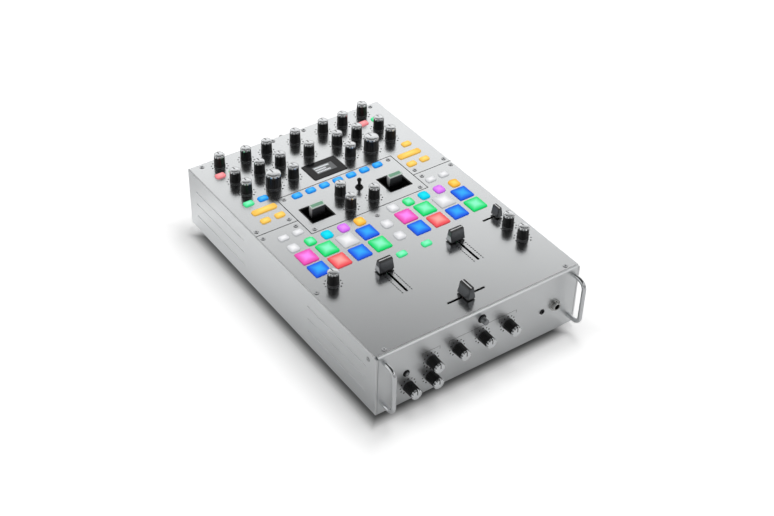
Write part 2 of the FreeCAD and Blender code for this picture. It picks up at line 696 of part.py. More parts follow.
def make_knob(name, radius, skirt, grip_top, cap_top):
    bore = "shaft_radius + fit_gap"
    bore_top = f"{grip_top} - knob_roof"
    shoulder = "knob_gap + knob_skirt_height"
    grip = turned(name + "Grip", [
        (bore, "knob_gap"), (skirt, "knob_gap"), (skirt, shoulder),
        (radius, f"{shoulder} + knob_flare"), (f"{radius} - knob_taper", grip_top),
        ("0", grip_top), ("0", bore_top), (bore, bore_top),
    ])
    flute = new_sketch(grip, name + "Flute", lift=grip_top)
    polygon(flute, [
        (f"{radius} - flute_depth - knob_taper", "0"),
        (f"{radius} + overcut", "-flute_half_width * 3"),
        (f"{radius} + overcut", "flute_half_width * 3"),
    ])
    notch = pocket(grip, flute, f"{grip_top} - ({shoulder}) - knob_smooth", name + "Notch")
    ring = grip.newObject("PartDesign::PolarPattern", name + "Ring")
    ring.Originals = [notch]
    ring.Axis = (flute, ["N_Axis"])
    ring.Angle = 360
    bind(ring, "Occurrences", "flute_count")
    grip.Tip = ring
    rim = f"{radius} - knob_taper - cap_inset"
    cap = turned(name + "Cap", [
        ("0", grip_top), (rim, grip_top), (rim, f"{cap_top} - cap_bevel"),
        (f"{rim} - cap_bevel", cap_top), ("0", cap_top),
    ])
    pointer = new_sketch(cap, name + "Pointer", lift=cap_top)
    half = "pointer_width / 2"
    polygon(pointer, [
        (f"-{half}", "0"), (half, "0"),
        (half, f"{radius} + overcut"), (f"-{half}", f"{radius} + overcut"),
    ])
    pocket(cap, pointer, "pointer_depth", name + "PointerCut")
    drop = "board_drop - pot_height / 2"
    shaft = cylinder(name + "Shaft", "shaft_radius", f"{drop} + {bore_top} - fit_gap",
                     ("0", "0", f"-({drop})"))
    return group(name, [grip, cap, shaft])


def make_pot():
    """Potentiometer on its board, with a bush that the shaft turns in."""
    case = box("PotCase", ("pot_width", "pot_depth", "pot_height"),
               ("-pot_width / 2", "-pot_depth / 2", "-board_drop"))
    bush = cylinder("PotBush", "bush_radius", "board_drop - pot_height - bush_sink",
                    ("0", "0", "pot_height - board_drop"))
    bore = cylinder("PotBore", "shaft_radius + shaft_clearance", "board_drop",
                    ("0", "0", "pot_height / 2 - board_drop - overcut"))
    return cut("Pot", fuse("PotBody", [case, bush]), bore)


# Keys: a cap that stands in its opening, a flange under the plate and a plunger

def make_key(name, width, depth, corner):
    body = doc.addObject("PartDesign::Body", name)
    sketch = new_sketch(body, name + "Outline", lift="-plate - key_clearance")
    rounded_rectangle(sketch, width, depth, corner)
    cap = pad(body, sketch, "plate + key_clearance + key_rise", name + "Cap")
    cap = round_edges(body, cap, at_height("key_rise"), "key_edge", name + "Edge")
    under = "-plate - key_clearance - key_flange_height"
    flange = new_sketch(body, name + "FlangeOutline", lift=under)
    rounded_rectangle(flange, f"{width} + 2 * key_flange", f"{depth} + 2 * key_flange",
                      f"{corner} + key_flange")
    pad(body, flange, "key_flange_height", name + "Flange")
    foot = "key_travel + key_clearance - board_drop"
    stem = new_sketch(body, name + "StemOutline", lift=foot)
    circle(stem, "stem_radius")
    pad(body, stem, f"{under} - ({foot})", name + "Stem")
    gap = "2 * key_clearance"
    hole = opening(name + "Opening",
                   rounded(f"{width} + {gap}", f"{depth} + {gap}", f"{corner} + key_clearance"))
    return body, hole


# Faders: a waisted cap on a blade, and the track that the blade runs in

def make_cap(name, sections):
    """Loft through sections of width, depth and height, with a line along the top."""
    body = doc.addObject("PartDesign::Body", name)
    sketches = []
    for index, (width, depth, height) in enumerate(sections):
        sketch = new_sketch(body, f"{name}Section{index}", lift=height)
        rounded_rectangle(sketch, width, depth, "cap_corner")
        sketches.append(sketch)
    loft = body.newObject("PartDesign::AdditiveLoft", name + "Loft")
    loft.Profile = sketches[0]
    loft.Sections = sketches[1:]
    doc.recompute()
    top_width, top_depth, top_height = sections[-1]
    line = new_sketch(body, name + "Line", lift=top_height)
    rounded_rectangle(line, f"{top_width} - 2 * line_inset", "line_width", "line_width / 4")
    pad(body, line, "line_rise", name + "LinePad")
    foot = sections[0][2]
    blade = box(name + "Blade", ("blade_thickness", "blade_width", f"blade_drop + {foot}"),
                ("-blade_thickness / 2", "-blade_width / 2", "-blade_drop"))
    return group(name + "WithBlade", [body, blade])


def make_track(name, length):
    """Fader track along Y under its slot, open on top for the blade."""
    full = f"{length} + 2 * track_end"
    height = "board_drop - plate - sheet - key_clearance"
    block = box(name + "Block", ("track_width", full, height),
                ("-track_width / 2", f"-({full}) / 2", "-board_drop"))
    run = f"{length} + 2 * overcut"
    groove = box(name + "Groove", ("track_groove", run, height),
                 ("-track_groove / 2", f"-({run}) / 2", "track_floor - board_drop"))
    return cut(name, block, groove)


def make_slot(name, length):
    return opening(name, lambda sketch: slot_outline(sketch, length, "slot_width"))


# Paddles: a lever with a lit strip on a pin, in a deep well

def make_paddle():
    lever = profile_along_x("PaddleLever", [
        ("-paddle_foot", "-pivot_drop"), ("paddle_foot", "-pivot_drop"),
        ("paddle_head", "paddle_rise"), ("-paddle_head", "paddle_rise - lens_slope"),
    ], "paddle_width")
    hub = cylinder("PaddleHub", "hub_radius", "paddle_width",
                   ("-paddle_width / 2", "0", "-pivot_drop"), TO_RIGHT)
    reach = "well_width - 2 * well_fit - well_wall"
    pin = cylinder("PaddlePin", "pin_radius", reach,
                   (f"-({reach}) / 2", "0", "-pivot_drop"), TO_RIGHT)
    lens = profile_along_x("PaddleLens", [
        ("-paddle_head", "paddle_rise - lens_slope"), ("paddle_head", "paddle_rise"),
        ("paddle_head - lens_lean", "paddle_rise + lens_height"),
        ("-paddle_head", "paddle_rise + lens_height - lens_slope"),
    ], "paddle_width")
    return group("Paddle", [fuse("PaddleBlade", [lever, hub, pin]), lens])


def make_well():
    wide = "well_width - 2 * well_fit"
    deep = "well_depth - 2 * well_fit"
    shell = box("WellShell", (wide, deep, "board_drop - well_sink"),
                (f"-({wide}) / 2", f"-({deep}) / 2", "-board_drop"))
    inside_x = f"{wide} - 2 * well_wall"
    inside_y = f"{deep} - 2 * well_wall"
    hollow = box("WellHollow", (inside_x, inside_y, "board_drop"),
                 (f"-({inside_x}) / 2", f"-({inside_y}) / 2", "well_wall - board_drop"))
    reach = "well_width - 2 * well_fit - well_wall / 2"
    seat = cylinder("WellSeat", "pin_radius + shaft_clearance", reach,
                    (f"-({reach}) / 2", "0", "-pivot_drop"), TO_RIGHT)
    return cut("Well", shell, group("WellCuts", [hollow, seat]))


def make_lever():
    """Browse lever: a ball in its collar, a slim neck and a round head."""
    ball = doc.addObject("Part::Sphere", "LeverBall")
    bind(ball, "Radius", "lever_ball")
    neck = doc.addObject("Part::Cone", "LeverNeck")
    bind(neck, "Radius1", "lever_neck")
    bind(neck, "Radius2", "lever_shoulder")
    bind(neck, "Height", "lever_top - lever_head")
    head = doc.addObject("Part::Sphere", "LeverHead")
    bind(head, "Radius", "lever_head")
    place(head, ("0", "0", "lever_top - lever_head"))
    return fuse("Lever", [ball, neck, head])


def make_collar():
    hole = "lever_ball + lever_clearance"
    tube = f"{hole} + collar_wall"
    foot = "-plate - key_clearance"
    return turned("Collar", [
        (hole, foot), (tube, foot), (tube, "0"), ("collar_radius + collar_wall", "0"),
        ("collar_radius", "collar_height"), (hole, "collar_height"),
    ])


# Housing: folded tray, top plates, front panel

def side_straps():
    """Corner tabs and the straps under the seams, on both sides."""
    pieces = []
    for side, sign in SIDES:
        inner = "-wall_x" if sign else "wall_x - corner_tab_width"
        for end, y in (("Front", "front_y + front_panel + seam"),
                       ("Back", "rear_y - sheet - corner_tab_length")):
            pieces.append(box(f"Tab{end}_{side}", ("corner_tab_width", "corner_tab_length", "sheet"),
                              (inner, y, "shelf_z - sheet")))
        wide = "flange_x - strap_inner"
        start = "-flange_x" if sign else "strap_inner"
        pieces.append(box("Strap_" + side, (wide, "2 * strap_half_depth", "sheet"),
                          (start, "front_y + split_y + strap_shift - strap_half_depth", "shelf_z - sheet")))
        ledge = "-strap_ledge" if sign else "strap_inner"
        pieces.append(box("Ledge_" + side,
                          ("strap_ledge - strap_inner",
                           "effects_back - effects_front - 2 * ledge_inset", "sheet"),
                          (ledge, "front_y + effects_front + ledge_inset", "shelf_z - sheet")))
    return pieces


def side_grooves():
    """Three pressed grooves at each end of both side walls."""
    master = prism("Groove", lambda sketch: slot_outline(sketch, "groove_length", "groove_width"),
                   "groove_depth + overcut", "-groove_depth")
    cuts = []
    for side, sign in SIDES:
        turn = (TO_LEFT if sign else TO_RIGHT).multiply(ACROSS)
        for level in range(3):
            z = f"foot_height + groove_low + groove_pitch * {level}"
            for end in ("front", "back"):
                spot = (f"{sign}body_width / 2", f"front_y + groove_{end}", z)
                cuts.append(copy(master, f"Groove_{side}_{end}_{level}", spot, turn))
    return cuts


def make_tray(holes):
    body = doc.addObject("PartDesign::Body", "TrayFold")
    section = new_sketch(body, "TraySection", "XZ_Plane")
    half = [
        ("body_width / 2", "foot_height"), ("body_width / 2", "shelf_z"),
        ("flange_x", "shelf_z"), ("flange_x", "shelf_z - sheet"),
        ("wall_x", "shelf_z - sheet"), ("wall_x", "foot_height + floor_sheet"),
    ]
    mirrored = [("-(" + x + ")", z) for x, z in reversed(half)]
    polygon(section, half + mirrored)
    fold = pad(body, section, "body_depth", "TrayPad")
    fold.Reversed = True
    doc.recompute()
    low = value("foot_height")
    outer = value("body_width") / 2
    for side in (-1, 1):
        def on_bend(point):
            return abs(point.z - low) < NEAR and abs(point.x - side * outer) < NEAR
        fold = round_edges(body, fold, on_bend, "bend_radius", f"TrayBend{side + 1}")
    place(body, ("0", "front_y", "0"))
    rear = box("RearWall", ("2 * wall_x", "sheet", "body_height - plate"),
               ("-wall_x", "rear_y - sheet", "foot_height"))
    rear_flange = box("RearFlange", ("rear_flange_width", "rear_flange_depth", "sheet"),
                      ("-rear_flange_width / 2", "rear_y - sheet - rear_flange_depth", "shelf_z - sheet"))
    folded = fuse("TrayFolded", [body, rear, rear_flange] + side_straps())
    mouth = box("FrontMouth", ("2 * wall_x", "front_panel + seam + overcut", "body_height + 2 * overcut"),
                ("-wall_x", "front_y - overcut", "foot_height - overcut"))
    cuts = group("TrayCuts", side_grooves() + holes)
    return cut("Tray", cut("TrayOpen", folded, mouth), cuts)


def plate_body(name, corners):
    """Flat plate on the shelf, its outer top edges bevelled."""
    body = doc.addObject("PartDesign::Body", name)
    sketch = new_sketch(body, name + "Outline")
    polygon(sketch, corners)
    flat = pad(body, sketch, "plate", name + "Pad")
    outer = value("body_width") / 2
    back = value("body_depth")
    high = value("plate")
    outer_lines = (
        lambda point: abs(point.x + outer) < NEAR,
        lambda point: abs(point.x - outer) < NEAR,
        lambda point: abs(point.y - back) < NEAR,
    )
    names = []
    for on_line in outer_lines:
        names += edges_where(flat, lambda point: abs(point.z - high) < NEAR and on_line(point))
    if names:
        bevel = body.newObject("PartDesign::Chamfer", name + "Bevel")
        bevel.Base = (flat, names)
        bind(bevel, "Size", "plate_bevel")
    return place(body, ("0", "front_y", "shelf_z"))


def make_plates():
    edge = "body_width / 2"
    gap = "seam / 2"
    hole_x = f"effects_x + {gap}"
    near = f"split_y + {gap}"
    behind = f"effects_back + {gap}"
    rear = plate_body("RearPlate", [
        (f"-{edge}", near), (f"-({hole_x})", near), (f"-({hole_x})", behind), (hole_x, behind),
        (hole_x, near), (edge, near), (edge, "body_depth"), (f"-{edge}", "body_depth"),
    ])
    far = f"split_y - {gap}"
    ahead = f"effects_front - {gap}"
    front = f"front_panel + {gap}"
    performance = plate_body("PerformancePlate", [
        (f"-{edge}", front), (edge, front), (edge, far), (hole_x, far), (hole_x, ahead),
        (f"-({hole_x})", ahead), (f"-({hole_x})", far), (f"-{edge}", far),
    ])
    inside = f"effects_x - {gap}"
    effects = plate_body("EffectsPlate", [
        (f"-({inside})", f"effects_front + {gap}"), (inside, f"effects_front + {gap}"),
        (inside, f"effects_back - {gap}"), (f"-({inside})", f"effects_back - {gap}"),
    ])
    return rear, performance, effects


def make_front_panel(cuts):
    """Thick panel between the side walls, its front edge bevelled along the top."""
    body = doc.addObject("PartDesign::Body", "FrontPlate")
    side = new_sketch(body, "FrontPlateSide", "YZ_Plane")
    polygon(side, [
        ("0", "0"), ("front_panel", "0"), ("front_panel", "body_height"),
        ("front_bevel", "body_height"), ("0", "body_height - front_bevel"),
    ])
    slab = pad(body, side, "2 * (wall_x - seam)", "FrontPlatePad")
    slab.Midplane = True
    place(body, ("0", "front_y", "foot_height"))
    return cut("FrontPanel", body, group("FrontCuts", cuts))


def make_handle():
    """Round bar bent to a U: two legs through the panel and an upright grip."""
    body = doc.addObject("PartDesign::Body", "Handle")
    path = new_sketch(body, "HandlePath", "YZ_Plane")
    inside = value("front_panel")
    reach = -value("handle_reach")
    low = value("handle_low")
    high = value("handle_high")
    bend = value("handle_bend")
    upper = Part.Circle(Vector(reach + bend, high - bend, 0), Vector(0, 0, 1), bend)
    lower = Part.Circle(Vector(reach + bend, low + bend, 0), Vector(0, 0, 1), bend)
    path.addGeometry(Part.LineSegment(Vector(inside, high, 0), Vector(reach + bend, high, 0)))
    path.addGeometry(Part.ArcOfCircle(upper, QUARTER, 2 * QUARTER))
    path.addGeometry(Part.LineSegment(Vector(reach, high - bend, 0), Vector(reach, low + bend, 0)))
    path.addGeometry(Part.ArcOfCircle(lower, 2 * QUARTER, 3 * QUARTER))
    path.addGeometry(Part.LineSegment(Vector(reach + bend, low, 0), Vector(inside, low, 0)))
    for joint in ((0, 2, 1, 1), (1, 2, 2, 1), (2, 2, 3, 1), (3, 2, 4, 1)):
        path.addConstraint(Sketcher.Constraint("Tangent", *joint))
    for kind, line in (("Horizontal", 0), ("Vertical", 2), ("Horizontal", 4)):
        path.addConstraint(Sketcher.Constraint(kind, line))
    path.addConstraint(Sketcher.Constraint("Equal", 1, 3))
    fix(path, "Radius", 1, text="handle_bend", name="bend")
    fix(path, "DistanceX", 0, 1, text="front_panel", name="inside_high")
    fix(path, "DistanceX", 4, 2, text="front_panel", name="inside_low")
    fix(path, "DistanceX", 2, 1, text="-handle_reach", name="reach")
    fix(path, "DistanceY", 0, 1, text="handle_high", name="high")
    fix(path, "DistanceY", 4, 2, text="handle_low", name="low")
    bar = new_sketch(body, "HandleBar", "XZ_Plane", lift="-front_panel")
    circle(bar, "handle_radius", "0", "handle_high")
    pipe = body.newObject("PartDesign::AdditivePipe", "HandlePipe")
    pipe.Profile = bar
    pipe.Spine = path
    doc.recompute()
    return body


def make_foot():
    return turned("Foot", [
        ("foot_recess_radius", "0"), ("foot_radius - foot_bevel", "0"), ("foot_radius", "foot_bevel"),
        ("foot_radius - edge_break", "foot_height"), ("0", "foot_height"), ("0", "foot_recess_depth"),
        ("foot_recess_radius", "foot_recess_depth"),
    ])


def make_screw():
    """Low button-head screw with a hexagon socket, its head on the surface."""
    body = turned("Screw", [
        ("0", "-screw_length"), ("screw_radius", "-screw_length"), ("screw_radius", "0"),
        ("screw_head", "0"), ("screw_head", "screw_rim"),
        ("screw_crown", "screw_rise"), ("0", "screw_rise"),
    ])
    socket = new_sketch(body, "ScrewSocket", lift="screw_rise")
    half = "screw_socket / 2"
    tall = "screw_socket_flat"
    polygon(socket, [
        ("screw_socket", "0"), (half, tall), (f"-{half}", tall),
        ("-screw_socket", "0"), (f"-{half}", f"-{tall}"), (half, f"-{tall}"),
    ])
    pocket(body, socket, "screw_socket_depth", "ScrewSocketCut")
    return body


# Sockets and the power switch

def make_jack():
    """Socket for a 6.35 mm plug: nut, threaded bush and body behind the panel."""
    shoulder = "-front_panel - jack_set_back"
    return turned("Jack", [
        ("jack_bore", "-jack_depth"), ("jack_body", "-jack_depth"), ("jack_body", shoulder),
        ("jack_radius", shoulder), ("jack_radius", "0"), ("jack_nut", "0"),
        ("jack_nut", "jack_nut_height"), ("jack_radius", "jack_nut_height"),
        ("jack_radius", "jack_reach - edge_break"), ("jack_radius - edge_break", "jack_reach"),
        ("jack_bore", "jack_reach"),
    ])


def make_mini_jack():
    case = "mini_jack_radius + mini_jack_shoulder"
    shoulder = "-front_panel - seam"
    return turned("MiniJack", [
        ("mini_jack_bore", "-mini_jack_depth"), (case, "-mini_jack_depth"), (case, shoulder),
        ("mini_jack_radius", shoulder), ("mini_jack_radius", "mini_jack_reach"),
        ("mini_jack_bore", "mini_jack_reach"),
    ])


def make_phono():
    return turned("Phono", [
        ("0", "-phono_depth"), ("phono_body", "-phono_depth"), ("phono_body", "0"),
        ("phono_flange", "0"), ("phono_flange", "phono_flange_height"),
        ("phono_radius", "phono_flange_height"), ("phono_radius", "phono_reach - edge_break"),
        ("phono_radius - edge_break", "phono_reach"), ("phono_hole", "phono_reach"),
        ("phono_hole", "phono_reach - phono_hole_depth"), ("0", "phono_reach - phono_hole_depth"),
    ])


def make_terminal():
    """Earth terminal: a stud with a thumbscrew."""
    tail = "-sheet - terminal_tail"
    clamp = "terminal_plate + terminal_gap"
    return turned("Terminal", [
        ("0", tail), ("terminal_stud", tail), ("terminal_stud", "0"), ("terminal_radius", "0"),
        ("terminal_radius", "terminal_plate"), ("terminal_stud", "terminal_plate"),
        ("terminal_stud", clamp), ("terminal_radius", clamp),
        ("terminal_radius", "terminal_reach - edge_break"),
        ("terminal_radius - edge_break", "terminal_reach"), ("0", "terminal_reach"),
    ])


def make_main_output():
    """Three-pin output: square flange, barrel, round well and its pins."""
    body = doc.addObject("PartDesign::Body", "MainOutput")
    flange = new_sketch(body, "MainFlangeOutline")
    rounded_rectangle(flange, "main_flange", "main_flange", "main_corner")
    pad(body, flange, "main_flange_height", "MainFlange")
    barrel = new_sketch(body, "MainBarrelOutline", lift="-main_depth")
    circle(barrel, "main_body")
    pad(body, barrel, "main_depth", "MainBarrel")
    well = new_sketch(body, "MainWellOutline", lift="main_flange_height")
    circle(well, "main_bore")
    pocket(body, well, "main_well_depth", "MainWell")
    pins = new_sketch(body, "MainPinOutline", lift="main_flange_height - main_well_depth")
    for x, y in (("0", "main_pin_circle"), ("-main_pin_circle", "0"), ("main_pin_circle", "0")):
        circle(pins, "main_pin", x, y)
    pad(body, pins, "main_pin_length", "MainPins")
    return body


def make_usb():
    body = doc.addObject("PartDesign::Body", "DataSocket")
    shell = new_sketch(body, "DataShellOutline", lift="-usb_depth")
    rounded_rectangle(shell, "usb_width", "usb_height", "usb_corner")
    pad(body, shell, "usb_depth + usb_reach", "DataShell")
    mouth = new_sketch(body, "DataMouthOutline", lift="usb_reach")
    rounded_rectangle(mouth, "usb_open_width", "usb_open_height", "usb_corner")
    pocket(body, mouth, "usb_open_depth", "DataMouth")
    tongue = new_sketch(body, "DataTongueOutline", lift="usb_reach - usb_open_depth")
    rounded_rectangle(tongue, "usb_tongue_width", "usb_tongue_height", "usb_corner / 2")
    pad(body, tongue, "usb_tongue_length", "DataTongue")
    return body


def make_inlet():
    """Mains inlet: a case with flange and mouth, and three contact blades standing in it."""
    shell = doc.addObject("PartDesign::Body", "InletShell")
    flange = new_sketch(shell, "InletFlangeOutline")
    rounded_rectangle(flange, "inlet_width", "inlet_height", "inlet_corner")
    pad(shell, flange, "inlet_flange", "InletFlange")
    case = new_sketch(shell, "InletCaseOutline", lift="-inlet_depth")
    rounded_rectangle(case, "inlet_open_width + 2 * inlet_wall", "inlet_open_height + 2 * inlet_wall",
                      "inlet_corner")
    pad(shell, case, "inlet_depth", "InletCase")
    mouth = new_sketch(shell, "InletMouthOutline", lift="inlet_flange")
    rounded_rectangle(mouth, "inlet_open_width", "inlet_open_height", "inlet_corner - inlet_wall")
    pocket(shell, mouth, "inlet_open_depth", "InletMouth")
    floor = "inlet_flange - inlet_open_depth"
    spots = {"Live": ("-blade_pitch", "0"), "Earth": ("0", "-earth_rise"), "Neutral": ("blade_pitch", "0")}
    blades = [box("InletBlade" + kind, ("contact_thickness", "contact_height", "contact_length"),
                  (f"{x} - contact_thickness / 2", f"{y} - contact_height / 2", floor))
              for kind, (x, y) in spots.items()]
    return group("Inlet", [shell] + blades)


def make_rocker_frame():
    body = doc.addObject("PartDesign::Body", "RockerFrame")
    wide = "rocker_width + 2 * rocker_gap"
    tall = "rocker_height + 2 * rocker_gap"
    rim = new_sketch(body, "RockerRimOutline")
    rounded_rectangle(rim, f"{wide} + 2 * rocker_rim", f"{tall} + 2 * rocker_rim", "rocker_corner")
    pad(body, rim, "rocker_flange", "RockerRim")
    case = new_sketch(body, "RockerCaseOutline", lift="-rocker_depth")
    rounded_rectangle(case, f"{wide} + rocker_rim", f"{tall} + rocker_rim", "rocker_corner / 2")
    pad(body, case, "rocker_depth", "RockerCase")
    mouth = new_sketch(body, "RockerMouthOutline", lift="rocker_flange")
    rounded_rectangle(mouth, wide, tall, "rocker_corner / 4")
    pocket(body, mouth, "rocker_depth + rocker_flange - rocker_floor", "RockerMouth")
    reach = f"{wide} + rocker_rim / 2"
    seat = cylinder("RockerSeat", "rocker_pin + shaft_clearance", reach,
                    (f"-({reach}) / 2", "0", "-rocker_pivot"), TO_RIGHT)
    return cut("RockerHousing", body, seat)


def make_rocker():
    """V-faced rocker on its pin, drawn about the pin and tipped to its off position."""
    half = "rocker_height / 2"
    rise = "rocker_pivot + rocker_reach"
    key = profile_along_x("RockerKey", [
        ("0", "-rocker_foot"), ("rocker_foot_half", "-rocker_foot / 2"),
        (f"{half} - rocker_end_gap", f"{rise} + rocker_lift"), ("0", rise),
        (f"rocker_end_gap - {half}", f"{rise} + rocker_lift"), ("-rocker_foot_half", "-rocker_foot / 2"),
    ], "rocker_width")
    reach = "rocker_width + 2 * rocker_gap + rocker_rim / 4"
    pin = cylinder("RockerPin", "rocker_pin", reach, (f"-({reach}) / 2", "0", "0"), TO_RIGHT)
    return fuse("Rocker", [key, pin])


def make_button(name, radius, reach):
    """Front button: a round cap with a bevelled edge, guided by a sleeve in the panel."""
    back = "-front_panel - button_foot"
    cap = turned(name, [
        ("0", back), (radius, back), (radius, f"{reach} - edge_break"),
        (f"{radius} - edge_break", reach), ("0", reach),
    ])
    inner = f"{radius} + button_gap"
    outer = f"{inner} + guide_wall"
    flange = f"{outer} + guide_flange"
    floor = f"{back} - button_travel - button_spare"
    base = f"{floor} - guide_floor"
    guide = turned(name + "Guide", [
        ("0", base), (flange, base), (flange, "-front_panel"), (outer, "-front_panel"),
        (outer, "guide_lip"), (inner, "guide_lip"), (inner, floor), ("0", floor),
    ])
    return cap, guide, drill(name + "Hole", f"{outer} + socket_clearance", "front_panel")


# Layout: where each control stands

KEY_COLUMNS = [(sign + column) for side, sign in SIDES for column in ("key_inner", "key_outer")]
REAR_COLUMNS = [
    ("input", "source_column", "row_source", "small"),
    ("trim", "trim_column", "row_high", "small"),
    ("high", "eq_column", "row_high", "small"),
    ("aux", "source_column", "row_mid", "small"),
    ("echo", "trim_column", "row_mid", "small"),
    ("mid", "eq_column", "row_mid", "small"),
    ("tone", "source_column", "row_tone", "small"),
    ("filter", "trim_column", "row_filter", "big"),
    ("low", "eq_column", "row_low", "small"),
]
REAR_KNOBS = [
    (f"{side}_{name}_knob", sign + x, y, size)
    for side, sign in SIDES for name, x, y, size in REAR_COLUMNS
] + [
    ("master_level_knob", "0", "row_high", "small"),
    ("booth_level_knob", "0", "row_mid", "small"),
]
EFFECT_KNOBS = [
    ("beat_knob", "-beat_x", "beat_y", "small"),
    ("left_depth_knob", "-depth_x", "depth_y", "small"),
    ("right_depth_knob", "depth_x", "depth_y", "small"),
]
PERFORMANCE_KNOBS = [
    ("mic_level_knob", "-mic_x", "mic_y", "small"),
    ("cue_mix_knob", "cue_x", "cue_mix_y", "small"),
    ("phones_level_knob", "cue_x", "phones_y", "small"),
]
FRONT_KNOBS = [
    ("session_level_knob", "-front_first_x", "front_low_z"),
    ("mic_high_knob", "front_last_x - 3 * front_pitch", "front_high_z"),
    ("mic_low_knob", "front_last_x - 3 * front_pitch", "front_low_z"),
    ("left_contour_knob", "front_last_x - 2 * front_pitch", "front_high_z"),
    ("cross_contour_knob", "front_last_x - front_pitch", "front_high_z"),
    ("right_contour_knob", "front_last_x", "front_high_z"),
]

PAD_ROWS = ("pad_row_back", "pad_row_front")
PAD_SPOTS = {
    side: [(f"{sign}pad_pitch * {step}", row) for row in PAD_ROWS for step in (1, 2, 3, 4)]
    for side, sign in SIDES
}
MODE_SPOTS = [
    (f"{sign}(mode_first + mode_pitch * {step})", "mode_row") for side, sign in SIDES for step in range(5)
] + [("0", row) for row in PAD_ROWS]
SHIFT_SPOTS = [(column, "row_shift") for column in KEY_COLUMNS]
CUE_SPOTS = [("-cue_key_x", "cue_key_y"), ("cue_key_x", "cue_key_y")]
EFFECT_SPOTS = [(f"effect_key_pitch * {step}", "effect_key_y") for step in range(-3, 4)]
BAR_SPOTS = [("-bar_x", "row_bar"), ("bar_x", "row_bar")]
LOOP_SPOTS = [(column, "row_loop") for column in KEY_COLUMNS]
CHANNEL_SPOTS = [(column, "row_rear_keys") for column in KEY_COLUMNS] + [
    ("-key_outer", "row_side_keys"),
    ("-key_inner", "row_side_keys"),
    ("key_outer", "row_side_keys"),
]
FADER_SPOTS = [("-fader_x", "fader_y"), ("fader_x", "fader_y")]
WELL_SPOTS = [("-well_x", "well_y"), ("well_x", "well_y")]

MIDDLE_SCREW = ("0", "middle_screw_y")
REAR_SCREWS = [
    (sign + x, y) for side, sign in SIDES for x, y in (
        ("corner_screw_x", "body_depth - corner_screw_inset_back"),
        ("rear_screw_x", "body_depth - rear_screw_inset"),
        ("seam_screw_x", "split_y + seam_screw_offset"),
        ("seam_screw_inner", "split_y + seam_screw_offset"),
    )
]
PERFORMANCE_SCREWS = [
    (sign + x, y) for side, sign in SIDES for x, y in (
        ("corner_screw_x", "corner_screw_front"),
        ("seam_screw_x", "split_y - seam_screw_offset"),
        ("seam_screw_inner", "split_y - seam_screw_offset"),
        ("seam_screw_x", "side_screw_y"),
    )
] + [MIDDLE_SCREW]
EFFECT_SCREWS = [
    (sign + "effects_screw_x", y) for side, sign in SIDES for y in (
        "effects_front + effects_screw_inset",
        "effects_back - effects_screw_inset",
    )
]
POST_SPOTS = [
    (sign + x, y) for side, sign in SIDES for x, y in (
        ("eq_column / 2", "post_rear_y"),
        ("(source_column + trim_column) / 2", "post_side_y"),
        ("pad_pitch * 3", "post_middle_y"),
        ("pad_pitch * 3", "post_front_y"),
    )
] + [("0", "post_centre_y")]

BUTTON_AT = on_front("0", "button_z")
SWITCH_AT = on_front("-switch_x", "switch_z")
JACK_AT = on_front("jack_x", "jack_z")
MINI_JACK_AT = on_front("mini_jack_x", "mini_jack_z")
REAR_ROWS = ("rear_low_z", "rear_high_z")
PHONO_SPOTS = [
    on_rear(f"phono_pitch * {step} - phono_first_x", z) for z in REAR_ROWS for step in range(4)
]
BOOTH_SPOTS = [on_rear("-booth_x", z) for z in REAR_ROWS]
USB_SPOTS = [on_rear("usb_x", z) for z in REAR_ROWS]
MAIN_SPOTS = [on_rear(f"-main_first_x - main_pitch * {step}", "rear_mid_z") for step in range(2)]


def copies(master, stem, spots, turn=UP):
    """Copies of one master at places on the top."""
    return [copy(master, f"{stem}_{index}", top(x, y), turn) for index, (x, y) in enumerate(spots)]


def places(knobs):
    return [(x, y) for node, x, y, size in knobs]


# Assembly: each function keeps its sub-parts and returns what the panels need

def build_knobs():
    masters = {
        "small": make_knob("SmallKnob", "knob_radius", "knob_skirt_radius", "knob_grip_top", "knob_top"),
        "big": make_knob("BigKnob", "big_radius", "big_skirt_radius", "big_grip_top", "big_top"),
    }
    top_knobs = REAR_KNOBS + EFFECT_KNOBS + PERFORMANCE_KNOBS
    for node, x, y, size in top_knobs:
        keep(node, copy(masters[size], node, top(x, y)))
    for node, x, z in FRONT_KNOBS:
        keep(node, copy(masters["small"], node, on_front(x, z), TO_FRONT))
    pot = make_pot()
    pots = copies(pot, "Pot", places(top_knobs))
    pots += [copy(pot, f"FrontPot_{node}", on_front(x, z), TO_FRONT) for node, x, z in FRONT_KNOBS]
    return pots


def build_keys():
    """Keep the key groups and return the cutter for each kind of opening."""
    pad_key, pad_hole = make_key("Pad", "pad_width", "pad_depth", "pad_corner")
    mode_key, mode_hole = make_key("ModeKey", "mode_width", "mode_depth", "mode_corner")
    small_key, small_hole = make_key("SmallKey", "small_width", "small_depth", "small_corner")
    bar_key, bar_hole = make_key("BarKey", "bar_width", "bar_depth", "bar_corner")
    for side, spots in PAD_SPOTS.items():
        keep(side + "_pads", group(side + "Pads", copies(pad_key, side + "Pad", spots)))
    modes = copies(mode_key, "Mode", MODE_SPOTS)
    keep("mode_keys", group("ModeKeys", modes + copies(small_key, "Shift", SHIFT_SPOTS)))
    keep("effect_keys", group("EffectKeys", copies(small_key, "EffectKey", EFFECT_SPOTS)))
    bars = copies(bar_key, "Bar", BAR_SPOTS)
    keep("loop_keys", group("LoopKeys", bars + copies(small_key, "Loop", LOOP_SPOTS)))
    channels = copies(small_key, "Channel", CHANNEL_SPOTS)
    keep("channel_keys", group("ChannelKeys", channels + copies(small_key, "Cue", CUE_SPOTS)))
    return {"pad": pad_hole, "mode": mode_hole, "small": small_hole, "bar": bar_hole}


